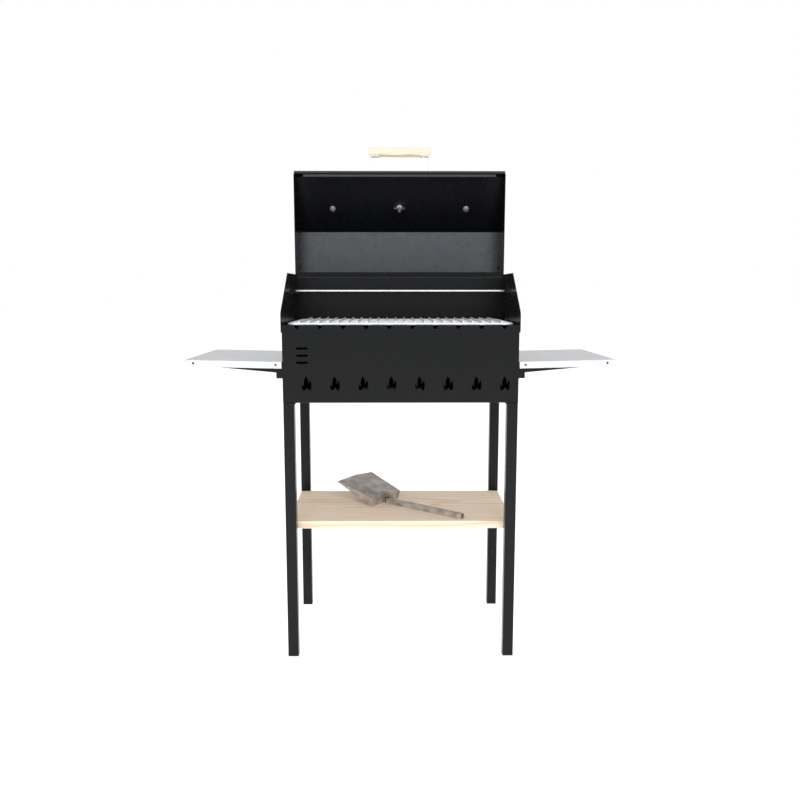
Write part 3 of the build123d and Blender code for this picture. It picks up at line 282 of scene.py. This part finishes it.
def bracket_steel():
    """Plated strip steel, duller than the fasteners."""
    return metal("bracket_steel", linear("#3C3B38") + (1.0,), linear("#5C5B57") + (1.0,), 90.0, 800.0,
                 (1.0, 1.0, 0.1), 0.4, 0.55, 0.00003, 0.5)


def gauge_steel():
    """Polished stainless gauge case with the lathe's faint lines."""
    return metal("gauge_steel", linear("#B4B4B4") + (1.0,), linear("#D2D2D0") + (1.0,), 60.0, 2200.0,
                 (0.2, 1.0, 1.0), 0.14, 0.24, 0.00001)


def moulded(name, code, low, high):
    """Moulded or enamelled surface in one colour with a fine grain."""
    material, tree, place = blank(name)
    grain = add_node(tree, "ShaderNodeTexNoise", {"Vector": place, "Scale": 1100.0, "Detail": 2.0})
    base = linear(code)
    shade = add_node(tree, "ShaderNodeMix",
                     {0: grain.outputs["Fac"], 6: darker(base, 0.88), 7: rgba(base)}, data_type="RGBA")
    rough = add_node(tree, "ShaderNodeMapRange",
                     {0: grain.outputs["Fac"], 1: 0.3, 2: 0.7, 3: low, 4: high})
    surface(tree, shade.outputs[2], rough.outputs[0], grain.outputs["Fac"], 0.00003)
    return material


def gauge_glass():
    """Flat pressed glass over the dial: clear and glossy, barely uneven."""
    material, tree, place = blank("gauge_glass")
    ripple = add_node(tree, "ShaderNodeTexNoise", {"Vector": place, "Scale": 90.0})
    rough = add_node(tree, "ShaderNodeMapRange",
                     {0: ripple.outputs["Fac"], 1: 0.3, 2: 0.7, 3: 0.02, 4: 0.06})
    surface(tree, rgba(linear("#F2F6F5")), rough.outputs[0], ripple.outputs["Fac"], 0.00001,
            Transmission_Weight=1.0, IOR=1.5)
    return material


def studio_paper():
    """Matt paper roll, pale and even."""
    material, tree, place = blank("studio_paper")
    fibre = add_node(tree, "ShaderNodeTexNoise", {"Vector": place, "Scale": 300.0, "Detail": 4.0})
    base = finishes().floor
    shade = add_node(tree, "ShaderNodeMix",
                     {0: fibre.outputs["Fac"], 6: darker(base, 0.98), 7: rgba(base)}, data_type="RGBA")
    # A faint glow of its own keeps the paper pale out to the horizon.
    surface(tree, shade.outputs[2], 0.9, fibre.outputs["Fac"], 0.00002,
            Emission_Color=rgba(base), Emission_Strength=0.62)
    return material


MAKERS = {
    "stove_paint": stove_paint,
    # Shelf strips 79 mm wide, from flat-sawn boards; the grip is one stick.
    "shelf_pine": lambda: pine("shelf_pine", 0.079, 0.29, 0.0105),
    "grip_pine": lambda: pine("grip_pine", 0.5, 1.18, 0.0065),
    "zinc_sheet": zinc_sheet,
    "plated_wire": plated_wire,
    "hot_rolled_steel": hot_rolled_steel,
    "weld_metal": weld_metal,
    "zinc_plate": zinc_plate,
    "bracket_steel": bracket_steel,
    "gauge_steel": gauge_steel,
    "dark_rivet": lambda: moulded("dark_rivet", "#2B2A2A", 0.3, 0.45),
    "foot_plastic": lambda: moulded("foot_plastic", "#18181A", 0.45, 0.6),
    "dial_enamel": lambda: moulded("dial_enamel", "#F1EFE8", 0.25, 0.35),
    "dial_ink": lambda: moulded("dial_ink", "#1A1A1B", 0.4, 0.5),
    "needle_red": lambda: moulded("needle_red", "#B3241C", 0.3, 0.4),
    "gauge_glass": gauge_glass,
    "studio_paper": studio_paper,
}


# The record's slot that a new piece in each finish belongs to.
SLOTS = {
    "stove_paint": "black_paint",
    "zinc_sheet": "galvanised_sheet",
    "plated_wire": "chromed_wire",
    "hot_rolled_steel": "bare_steel",
    "weld_metal": "bare_steel",
    "dark_rivet": "zinc_fasteners",
    "zinc_plate": "zinc_fasteners",
    "dial_ink": "dial_face",
}


def finish(name):
    """The material of that name, made the first time it is asked for."""
    return bpy.data.materials.get(name) or MAKERS[name]()


# ------------------------------------------------------------------ geometry helpers
def merged(node):
    """A CAD node's mesh with its loose triangles joined."""
    mesh = bmesh.new()
    mesh.from_mesh(frame["nodes"][node].data)
    bmesh.ops.remove_doubles(mesh, verts=mesh.verts, dist=1e-6)
    return mesh


def solids(node):
    """The box of each separate solid of a CAD node, as (low, high), left to right."""
    mesh = merged(node)
    left = set(mesh.verts)
    boxes = []
    while left:
        group = [left.pop()]
        for vert in group:
            for edge in vert.link_edges:
                other = edge.other_vert(vert)
                if other in left:
                    left.remove(other)
                    group.append(other)
        corners = [Vector([pick(v.co[i] for v in group) for i in range(3)]) for pick in (min, max)]
        boxes.append(tuple(corners))
    mesh.free()
    return sorted(boxes, key=lambda box: tuple(round(x, 4) for x in box[0]))


def centre(box):
    return (box[0] + box[1]) / 2


def lid_way(closed):
    """A direction on the closed lid, turned with the lid to where it rests open."""
    return Matrix.Rotation(-LID_OPEN, 3, "X") @ Vector(closed)


def show(name, mesh, material, body, replaced=(), smooth=True):
    """Put a finished mesh in the scene, riding on its body."""
    mesh.name = name
    if material:
        mesh.materials.clear()
        mesh.materials.append(finish(material))
    if smooth:
        mesh.shade_smooth()
    if not mesh.polygons:
        raise RuntimeError(f"{name} came out empty")
    piece = bpy.data.objects.new(name, mesh)
    bpy.context.scene.collection.objects.link(piece)
    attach(piece, body)
    # A grown mesh has an empty first material slot, so the first real one is looked for.
    SLOTS[next(filter(None, mesh.materials)).name]
    if replaced:
        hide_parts(*replaced)
    return piece


def new_tree(name, sockets):
    """A geometry tree with named inputs; gives the tree and its input node."""
    tree = bpy.data.node_groups.new(name, "GeometryNodeTree")
    tree.interface.new_socket("Geometry", in_out="INPUT", socket_type="NodeSocketGeometry")
    tree.interface.new_socket("Geometry", in_out="OUTPUT", socket_type="NodeSocketGeometry")
    for label, kind in sockets.items():
        tree.interface.new_socket(label, in_out="INPUT", socket_type=f"NodeSocket{kind}")
    return tree, add_node(tree, "NodeGroupInput").outputs


def close_tree(tree, geometry, material):
    """End a tree in real geometry with its material."""
    real = add_node(tree, "GeometryNodeRealizeInstances", {0: geometry})
    dressed = add_node(tree, "GeometryNodeSetMaterial", {0: real.outputs[0], "Material": material})
    add_node(tree, "NodeGroupOutput", {0: dressed.outputs[0]})
    return tree


def grow(name, tree, values, body, points=(), edges=(), replaced=()):
    """Run a tree on points and edges and keep the result as a plain mesh."""
    source = bpy.data.meshes.new(name + "_source")
    source.from_pydata([tuple(p) for p in points], edges, [])
    carrier = bpy.data.objects.new(name + "_source", source)
    bpy.context.scene.collection.objects.link(carrier)
    modifier = carrier.modifiers.new("Build", "NODES")
    modifier.node_group = tree
    for item in tree.interface.items_tree:
        if item.in_out == "INPUT" and item.name in values:
            modifier[item.identifier] = values[item.name]
    graph = bpy.context.evaluated_depsgraph_get()
    mesh = bpy.data.meshes.new_from_object(carrier.evaluated_get(graph), depsgraph=graph)
    bpy.data.objects.remove(carrier)
    return show(name, mesh, None, body, replaced)


WIRE_POINTS = 13            # along one wire, so that it can stray
WIRE_SIDES = 12
WANDER_SCALE = 23.0         # noise cells per metre, so a wave is about 43 mm long
RIDGE_SHARE = 0.32          # thread ridge, as a share of its pitch
THREAD_STEPS = 16           # per turn
DOME_ANGLES = (0.0, 0.4, 0.8, 1.2)
DOME_RISE = 0.45            # of the head's radius
SHANK_SHARE = 0.62          # of the head's radius
RIVET_SIDES = 20


def wire_tree():
    """Rows of round wire, each straying a little, repeated by a step."""
    tree, given = new_tree("Wire rows", {
        "First": "Vector", "Step": "Vector", "Count": "Int", "Run": "Vector", "Radius": "Float",
        "Wander": "Float", "Seed": "Int", "Material": "Material"})
    half = add_node(tree, "ShaderNodeVectorMath", {0: given["Run"], 3: 0.5}, operation="SCALE")
    back = add_node(tree, "ShaderNodeVectorMath", {0: given["Run"], 3: -0.5}, operation="SCALE")
    line = add_node(tree, "GeometryNodeCurvePrimitiveLine", {0: back.outputs[0], 1: half.outputs[0]})
    fine = add_node(tree, "GeometryNodeResampleCurve", {0: line.outputs[0], "Count": WIRE_POINTS})
    spots = add_node(tree, "GeometryNodeMeshLine",
                     {"Count": given["Count"], "Start Location": given["First"],
                      "Offset": given["Step"]})
    rows = add_node(tree, "GeometryNodeInstanceOnPoints", {0: spots.outputs[0], 2: fine.outputs[0]})
    real = add_node(tree, "GeometryNodeRealizeInstances", {0: rows.outputs[0]})
    noise = add_node(tree, "ShaderNodeTexNoise", {"W": given["Seed"], "Scale": WANDER_SCALE},
                     noise_dimensions="4D")
    even = add_node(tree, "ShaderNodeVectorMath", {0: noise.outputs["Color"], 1: (0.5, 0.5, 0.5)},
                    operation="SUBTRACT")
    stray = add_node(tree, "ShaderNodeVectorMath", {0: even.outputs[0], 3: given["Wander"]},
                     operation="SCALE")
    moved = add_node(tree, "GeometryNodeSetPosition",
                     {0: real.outputs[0], "Offset": stray.outputs[0]})
    ring = add_node(tree, "GeometryNodeCurvePrimitiveCircle",
                    {"Resolution": WIRE_SIDES, "Radius": given["Radius"]})
    pipe = add_node(tree, "GeometryNodeCurveToMesh",
                    {"Curve": moved.outputs[0], "Profile Curve": ring.outputs[0], "Fill Caps": True})
    return close_tree(tree, pipe.outputs[0], given["Material"])


def fastener_tree():
    """One head on every point, along an axis, each turned at random."""
    tree, given = new_tree("Fasteners", {
        "Head": "Object", "Axis": "Vector", "Turn": "Float", "Seed": "Int", "Material": "Material"})
    head = add_node(tree, "GeometryNodeObjectInfo", {"Object": given["Head"]})
    aim = add_node(tree, "FunctionNodeAlignRotationToVector", {"Vector": given["Axis"]}, axis="Z")
    spin = add_node(tree, "FunctionNodeRandomValue", {3: given["Turn"], "Seed": given["Seed"]},
                    data_type="FLOAT")
    around = add_node(tree, "FunctionNodeAxisAngleToRotation",
                      {"Axis": (0.0, 0.0, 1.0), "Angle": spin.outputs[1]})
    turned = add_node(tree, "FunctionNodeRotateRotation",
                      {0: aim.outputs[0], 1: around.outputs[0]}, rotation_space="LOCAL")
    placed = add_node(tree, "GeometryNodeInstanceOnPoints",
                      {0: given["Geometry"], 2: head.outputs["Geometry"],
                       "Rotation": turned.outputs[0]})
    return close_tree(tree, placed.outputs[0], given["Material"])


def weld_tree():
    """Overlapping weld ripples along every edge."""
    tree, given = new_tree("Weld beads", {
        "Width": "Float", "Pitch": "Float", "Seed": "Int", "Material": "Material"})
    path = add_node(tree, "GeometryNodeMeshToCurve", {0: given["Geometry"]})
    fine = add_node(tree, "GeometryNodeResampleCurve",
                    {0: path.outputs[0], "Length": given["Pitch"]}, mode="LENGTH")
    drop = add_node(tree, "GeometryNodeMeshIcoSphere", {"Radius": 0.5, "Subdivisions": 2})
    scatter = add_node(tree, "FunctionNodeRandomValue",
                       {0: (0.75, 0.75, 0.75), 1: (1.2, 1.2, 1.2), "Seed": given["Seed"]},
                       data_type="FLOAT_VECTOR")
    scale = add_node(tree, "ShaderNodeVectorMath", {0: scatter.outputs[0], 3: given["Width"]},
                     operation="SCALE")
    drops = add_node(tree, "GeometryNodeInstanceOnPoints",
                     {0: fine.outputs[0], 2: drop.outputs[0], "Scale": scale.outputs[0]})
    return close_tree(tree, drops.outputs[0], given["Material"])


def thread_tree():
    """A screw thread from each point along an axis."""
    tree, given = new_tree("Threads", {
        "Axis": "Vector", "Radius": "Float", "Pitch": "Float", "Length": "Float",
        "Material": "Material"})
    turns = add_node(tree, "ShaderNodeMath", {0: given["Length"], 1: given["Pitch"]},
                     operation="DIVIDE")
    helix = add_node(tree, "GeometryNodeCurveSpiral",
                     {"Resolution": THREAD_STEPS, "Rotations": turns.outputs[0],
                      "Start Radius": given["Radius"], "End Radius": given["Radius"],
                      "Height": given["Length"]})
    ridge = add_node(tree, "ShaderNodeMath", {0: given["Pitch"], 1: RIDGE_SHARE},
                     operation="MULTIPLY")
    profile = add_node(tree, "GeometryNodeCurvePrimitiveCircle",
                       {"Resolution": 4, "Radius": ridge.outputs[0]})
    coil = add_node(tree, "GeometryNodeCurveToMesh",
                    {"Curve": helix.outputs[0], "Profile Curve": profile.outputs[0], "Fill Caps": True})
    aim = add_node(tree, "FunctionNodeAlignRotationToVector", {"Vector": given["Axis"]}, axis="Z")
    placed = add_node(tree, "GeometryNodeInstanceOnPoints",
                      {0: given["Geometry"], 2: coil.outputs[0], "Rotation": aim.outputs[0]})
    return close_tree(tree, placed.outputs[0], given["Material"])


def lathed(profile, sides):
    """A closed turned shape from (radius, height) points that start and end on the axis."""
    mesh = bmesh.new()
    rings = []
    for radius, height in profile:
        if radius == 0:
            rings.append([mesh.verts.new((0, 0, height))])
        else:
            angles = [tau * i / sides for i in range(sides)]
            rings.append([mesh.verts.new((radius * cos(a), radius * sin(a), height)) for a in angles])
    for low, high in zip(rings, rings[1:]):
        for i in range(sides):
            corners = [low[i % len(low)], low[(i + 1) % len(low)],
                       high[(i + 1) % len(high)], high[i % len(high)]]
            mesh.faces.new(dict.fromkeys(corners))
    bmesh.ops.recalc_face_normals(mesh, faces=mesh.faces)
    return mesh


def template(mesh):
    """An object that a tree repeats; it is removed after use."""
    data = bpy.data.meshes.new("template")
    mesh.to_mesh(data)
    mesh.free()
    thing = bpy.data.objects.new("template", data)
    bpy.context.scene.collection.objects.link(thing)
    return thing


def fasten(name, heads, points, axis, turn, material, body, replaced=()):
    """Repeat a head on the points with the fastener tree."""
    head = template(heads)
    piece = grow(name, fastener_tree(),
                 {"Head": head, "Axis": axis, "Turn": turn, "Seed": sizes().seed,
                  "Material": finish(material)}, body, points, replaced=replaced)
    bpy.data.objects.remove(head)
    return piece


def rivet(length, head, shank):
    """A rivet along Z about its middle, domed at both ends."""
    rise = DOME_RISE * head
    half = length / 2
    dome = [(head * cos(a), half - rise + rise * sin(a)) for a in DOME_ANGLES]
    top = [(shank, half - rise), *dome, (0, half)]
    return lathed([(r, -h) for r, h in reversed(top)] + top, RIVET_SIDES)


# ------------------------------------------------------------------ operators
class GRILL_OT_finishes(bpy.types.Operator):
    """Give every CAD node the finish of its piece"""
    bl_idname = "grill.finishes"
    bl_label = "Finishes"

    def execute(self, context):
        chosen = {
            "shelf_board": "shelf_pine", "handle_grip": "grip_pine", "leg_feet": "foot_plastic",
            "scoop_pan": "hot_rolled_steel", "scoop_handle": "hot_rolled_steel",
            "cooking_grate_frame": "plated_wire", "warming_rack_frame": "plated_wire",
            "table_tray_left": "zinc_sheet", "table_tray_right": "zinc_sheet",
            "handle_brackets": "bracket_steel", "thermometer_case": "gauge_steel",
            "thermometer_dial": "dial_enamel", "thermometer_glass": "gauge_glass",
            "thermometer_needle": "needle_red",
        }
        plated = ("leg_bolts", "shelf_screws", "hinge_pins", "handle_screws", "damper_bolts",
                  "damper_washers", "damper_nuts", "thermometer_stem", "thermometer_nut")
        chosen.update({name: "zinc_plate" for name in plated})
        for name, thing in frame["nodes"].items():
            thing.data.materials.clear()
            thing.data.materials.append(finish(chosen.get(name, "stove_paint")))
        return {"FINISHED"}


class GRILL_OT_trays(bpy.types.Operator):
    """Fold the side tables' sheet with rounded bends"""
    bl_idname = "grill.trays"
    bl_label = "Side tables"

    def execute(self, context):
        for hand in ("left", "right"):
            node = f"table_tray_{hand}"
            mesh = merged(node)
            bmesh.ops.dissolve_limit(mesh, angle_limit=radians(1), verts=mesh.verts,
                                     edges=mesh.edges)
            # The long bends and rims only, not the short edges round the rivet holes.
            sharp = [edge for edge in mesh.edges
                     if edge.is_manifold and edge.calc_face_angle(0) > radians(60)
                     and edge.calc_length() > 50 * MM]
            bmesh.ops.bevel(mesh, geom=sharp, offset=sizes().sheet_edge, segments=3, profile=0.5,
                            affect="EDGES", clamp_overlap=True)
            data = bpy.data.meshes.new(node)
            mesh.to_mesh(data)
            mesh.free()
            show(f"tray_{hand}", data, "zinc_sheet", f"table_{hand}", (node,), smooth=False)
        return {"FINISHED"}


class GRILL_OT_cooking_grate(bpy.types.Operator):
    """Weld the cooking grate's wires into its frame"""
    bl_idname = "grill.cooking_grate"
    bl_label = "Cooking grate"

    def execute(self, context):
        for name, node, way in (("grate_bars", "cooking_grate_bars", 1),
                                ("grate_cross_wires", "cooking_grate_cross_wires", 0)):
            rows_wires(name, node, solids(node), way, sizes().grate_wire / 2, "cooking_grate")
        return {"FINISHED"}


class GRILL_OT_warming_rack(bpy.types.Operator):
    """Weld the warming rack's wires into its frame"""
    bl_idname = "grill.warming_rack"
    bl_label = "Warming rack"

    def execute(self, context):
        node = "warming_rack_wires"
        rows_wires("rack_wires", node, solids(node), 1, sizes().rack_wire / 2, "warming_rack")
        return {"FINISHED"}


def rows_wires(name, node, boxes, way, radius, body):
    """Rebuild a CAD node of like wires; way is the axis that they run along."""
    other = 1 - way
    ordered = sorted(boxes, key=lambda box: box[0][other])
    first = centre(ordered[0])
    step = (centre(ordered[-1]) - first) / (len(ordered) - 1)
    run = Vector((0, 0, 0))
    run[way] = ordered[0][1][way] - ordered[0][0][way]
    return grow(name, wire_tree(),
                {"First": first, "Step": step, "Count": len(ordered), "Run": run, "Radius": radius,
                 "Wander": sizes().wire_wander, "Seed": sizes().seed,
                 "Material": finish("plated_wire")}, body, replaced=(node,))


class GRILL_OT_rivets(bpy.types.Operator):
    """Set the rivets of the hood and the side tables"""
    bl_idname = "grill.rivets"
    bl_label = "Rivets"

    def execute(self, context):
        for name, node, body, way in (
            ("hood_rivet_set", "hood_rivets", "stand", 0),
            ("table_rivet_set_left", "table_rivets_left", "table_left", 1),
            ("table_rivet_set_right", "table_rivets_right", "table_right", 1),
        ):
            boxes = solids(node)
            extent = boxes[0][1] - boxes[0][0]
            head = extent[2] / 2
            axis = Vector((0, 0, 0))
            axis[way] = 1
            fasten(name, rivet(extent[way], head, SHANK_SHARE * head),
                   [centre(box) for box in boxes], axis, tau, "dark_rivet", body, (node,))
        return {"FINISHED"}


class GRILL_OT_threads(bpy.types.Operator):
    """Cut the threads that show inside the lid"""
    bl_idname = "grill.threads"
    bl_label = "Threads"

    def execute(self, context):
        inward = -SLOPE_OUT
        # The last four of each row are millimetres; start is measured inwards from the joint.
        for name, joints, radius, pitch, start, length in (
            ("damper_threads", ("damper_left_turn", "damper_right_turn"), 3.95, 1.25, 9.6, 1.6),
            ("gauge_thread", ("needle_turn",), 4.4, 1.0, 18.0, 9.0),
        ):
            places = [Vector(joint["pos_m"]) + inward * start * MM
                      for joint in frame["joints"] if joint["name"] in joints]
            grow(name, thread_tree(),
                 {"Axis": inward, "Radius": radius * MM, "Pitch": pitch * MM, "Length": length * MM,
                  "Material": finish("zinc_plate")}, "lid", places)
        return {"FINISHED"}


class GRILL_OT_welds(bpy.types.Operator):
    """Lay the weld beads of the body, the table sockets, the lid and the scoop"""
    bl_idname = "grill.welds"
    bl_label = "Welds"

    def execute(self, context):
        self.lay("hood_corner_welds", self.hood_corners(), "stove_paint", "stand", 1.0)
        self.lay("socket_welds", self.sockets(), "stove_paint", "stand", 1.0)
        self.lay("lid_tack_welds", self.lid_tacks(), "stove_paint", "lid", 2.0)
        self.lay("scoop_weld", self.scoop_neck(), "weld_metal", "scoop", 1.1)
        return {"FINISHED"}

    def lay(self, name, runs, material, body, heavier):
        """One piece of beads along the runs of points; heavier multiplies the bead's width."""
        points = []
        edges = []
        for run in runs:
            edges += [(len(points) + i, len(points) + i + 1) for i in range(len(run) - 1)]
            points += run
        width = sizes().bead * heavier
        grow(name, weld_tree(), {"Width": width, "Pitch": width / 3, "Seed": sizes().seed,
                                 "Material": finish(material)}, body, points, edges)

    def hood_corners(self):
        """Short stitches up the inside corners between the back wall and the sides."""
        low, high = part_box("hood_back_wall")
        sheet = 2.4 * MM            # the 2 mm wall, and the bead's middle 0.4 mm inside it
        stitch = 18 * MM
        inset = 0.6 * MM
        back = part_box("hinge_brackets")[0].y - sheet
        heights = [low.z + (high.z - low.z) * share for share in (0.25, 0.5, 0.75)]
        return [[Vector((x, back, z)), Vector((x, back, z + stitch))]
                for x in (low.x + inset, high.x - inset) for z in heights]

    def sockets(self):
        """A bead along the top and foot of each table socket, against the firebox end."""
        proud = 0.5 * MM            # bead's middle off the firebox end
        short = 2 * MM              # bead short of the socket's corners
        runs = []
        for low, high in solids("table_sockets"):
            x = high.x if high.x < 0 else low.x
            x += proud if x > 0 else -proud
            for z in (low.z, high.z):
                runs.append([Vector((x, low.y + short, z)), Vector((x, high.y - short, z))])
        return runs

    def lid_tacks(self):
        """Tack welds where the cheeks meet the lid's panels: at the fold and half-way down."""
        roof_rise = 98 * MM         # pin to the underside of the closed lid's roof
        roof_run = 220 * MM         # pin to the fold at the roof's front
        inset = 1.0 * MM
        tack = 3 * MM
        across = lid_way((0, -1, 0))
        rear = HINGE + lid_way((0, 0, 1)) * roof_rise
        runs = []
        for side in (-1, 1):
            x = (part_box("lid_shell")[1].x - inset) * side
            for share in (0.5, 1.0):
                spot = rear + across * roof_run * share
                spot.x = x
                runs.append([spot, spot + across * tack])
        return runs

    def scoop_line(self):
        """The tube's far end, its level direction and the point of the pan nearest that end."""
        reach = 20 * MM             # takes in the end's corners and none of the other end's
        verts = [v.co for v in frame["nodes"]["scoop_handle"].data.vertices]
        free = max(verts, key=lambda co: co.x)
        tip = [co for co in verts if (co - free).length < reach]
        far = sum(tip, Vector()) / len(tip)
        pan = [v.co for v in frame["nodes"]["scoop_pan"].data.vertices]
        near = min(pan, key=lambda co: (co - far).length)
        along = near - far
        along.z = 0
        return far, along.normalized(), near

    def scoop_neck(self):
        """Round the tube where it meets the pan's rear edge."""
        far, along, near = self.scoop_line()
        half = 7.2 * MM             # half the tube, to the middle of the bead
        past = 1.5 * MM             # bead past the pan's sheet
        across = Vector((-along.y, along.x, 0)) * half
        rise = Vector((0, 0, 1)) * half
        start = far + along * ((near - far).dot(along) + past)
        return [[start - across - rise, start - across + rise,
                 start + across + rise, start + across - rise]]


class GRILL_OT_dial(bpy.types.Operator):
    """Print the thermometer's scale"""
    bl_idname = "grill.dial"
    bl_label = "Dial"

    def execute(self, context):
        lift = 5.05 * MM            # ink's middle above the needle's joint
        ink = 0.1 * MM
        outer = 25 * MM             # circle that the marks end on
        marks, each, first = 31, 9, 225     # how many, and degrees between them and of the first
        mesh = bmesh.new()
        face = Matrix.Translation(Vector(GAUGE_JOINT["pos_m"]) + SLOPE_OUT * lift) @ \
            SLOPE_OUT.to_track_quat("Z", "Y").to_matrix().to_4x4()
        for i in range(marks):
            length, width = (4.0 * MM, 0.8 * MM) if i % 5 == 0 else (2.2 * MM, 0.4 * MM)
            turned = face @ Matrix.Rotation(radians(first - each * i), 4, "Z")
            place = turned @ Matrix.Translation((outer - length / 2, 0, 0))
            mark = bmesh.ops.create_cube(mesh, size=1.0)["verts"]
            shape = Matrix.Diagonal((length, width, ink, 1))
            bmesh.ops.transform(mesh, matrix=place @ shape, verts=mark)
        data = bpy.data.meshes.new("dial_marks")
        mesh.to_mesh(data)
        mesh.free()
        show("dial_marks", data, "dial_ink", "lid", smooth=False)
        return {"FINISHED"}


class GRILL_OT_studio(bpy.types.Operator):
    """Lay the floor and set the lights and the camera"""
    bl_idname = "grill.studio"
    bl_label = "Studio"

    def execute(self, context):
        scene = context.scene
        floor_data = bpy.data.meshes.new("floor")
        reach = 40.0                # metres, to the paper's edge
        floor_data.from_pydata([(-reach, -reach, 0), (reach, -reach, 0),
                                (reach, reach, 0), (-reach, reach, 0)], [], [(0, 1, 2, 3)])
        floor_data.materials.append(finish("studio_paper"))
        floor = bpy.data.objects.new("floor", floor_data)
        scene.collection.objects.link(floor)
        world = bpy.data.worlds.new("studio")
        world.use_nodes = True
        world.node_tree.nodes.clear()
        # The surroundings show white but light the object more softly than they look.
        soft = 0.68
        ray = add_node(world.node_tree, "ShaderNodeLightPath")
        level = add_node(world.node_tree, "ShaderNodeMapRange",
                         {0: ray.outputs["Is Camera Ray"], 1: 0.0, 2: 1.0, 3: soft, 4: 1.0})
        sky = add_node(world.node_tree, "ShaderNodeBackground",
                       {"Color": (1, 1, 1, 1), "Strength": level.outputs[0]})
        add_node(world.node_tree, "ShaderNodeOutputWorld", {"Surface": sky.outputs[0]})
        scene.world = world
        middle = Vector((0, 0, 0.9))
        # Metres and watts. The key is where the open lid's lower panel mirrors it to the front.
        for name, place, wide, high, power in (
            ("key", (0.0, -3.2, 2.45), 3.4, 0.6, 72.0),
            ("left", (-3.0, -0.6, 1.8), 1.4, 1.6, 14.0),
            ("right", (3.0, -0.6, 1.8), 1.4, 1.6, 14.0),
        ):
            light = bpy.data.lights.new(name, "AREA")
            light.shape = "RECTANGLE"
            light.size = wide
            light.size_y = high
            light.energy = power
            light.color = linear("#EEF3FF")
            lamp = bpy.data.objects.new(name, light)
            lamp.location = place
            aim = (middle - lamp.location).to_track_quat("-Z", "Y")
            lamp.rotation_euler = aim.to_euler()
            scene.collection.objects.link(lamp)
        lens = bpy.data.cameras.new("camera")
        lens.lens = 35.03
        lens.sensor_width = 36.0
        camera = bpy.data.objects.new("camera", lens)
        down = radians(7.867)
        aside = radians(0.470)
        ahead = Vector((sin(aside) * cos(down), cos(aside) * cos(down), -sin(down)))
        camera.rotation_mode = "QUATERNION"
        camera.rotation_quaternion = ahead.to_track_quat("-Z", "Y")
        camera.location = (-0.0180, -2.2048, 0.9624)
        scene.collection.objects.link(camera)
        scene.camera = camera
        scene.view_settings.view_transform = "Standard"
        return {"FINISHED"}


class GRILL_PT_panel(bpy.types.Panel):
    """Sizes, colours and pieces of the grill"""
    bl_idname = "GRILL_PT_panel"
    bl_label = "Charcoal grill"
    bl_space_type = "VIEW_3D"
    bl_region_type = "UI"
    bl_category = "Grill"

    def draw(self, context):
        for group in (finishes(), sizes()):
            for name in group.__annotations__:
                self.layout.prop(group, name)
        for operator in OPERATORS:
            self.layout.operator(operator.bl_idname)


GROUPS = (GrillFinishes, GrillSizes)
OPERATORS = (
    GRILL_OT_finishes,
    GRILL_OT_trays,
    GRILL_OT_cooking_grate,
    GRILL_OT_warming_rack,
    GRILL_OT_rivets,
    GRILL_OT_threads,
    GRILL_OT_welds,
    GRILL_OT_dial,
    GRILL_OT_studio,
)


def register():
    for item in (*GROUPS, *OPERATORS, GRILL_PT_panel):
        bpy.utils.register_class(item)
    bpy.types.Scene.grill_finishes = PointerProperty(type=GrillFinishes)
    bpy.types.Scene.grill_sizes = PointerProperty(type=GrillSizes)


def unregister():
    del bpy.types.Scene.grill_finishes
    del bpy.types.Scene.grill_sizes
    for item in reversed((*GROUPS, *OPERATORS, GRILL_PT_panel)):
        bpy.utils.unregister_class(item)


def main():
    register()
    for operator in OPERATORS:
        group, name = operator.bl_idname.split(".")
        getattr(getattr(bpy.ops, group), name)()


if __name__ == "__main__":
    main()
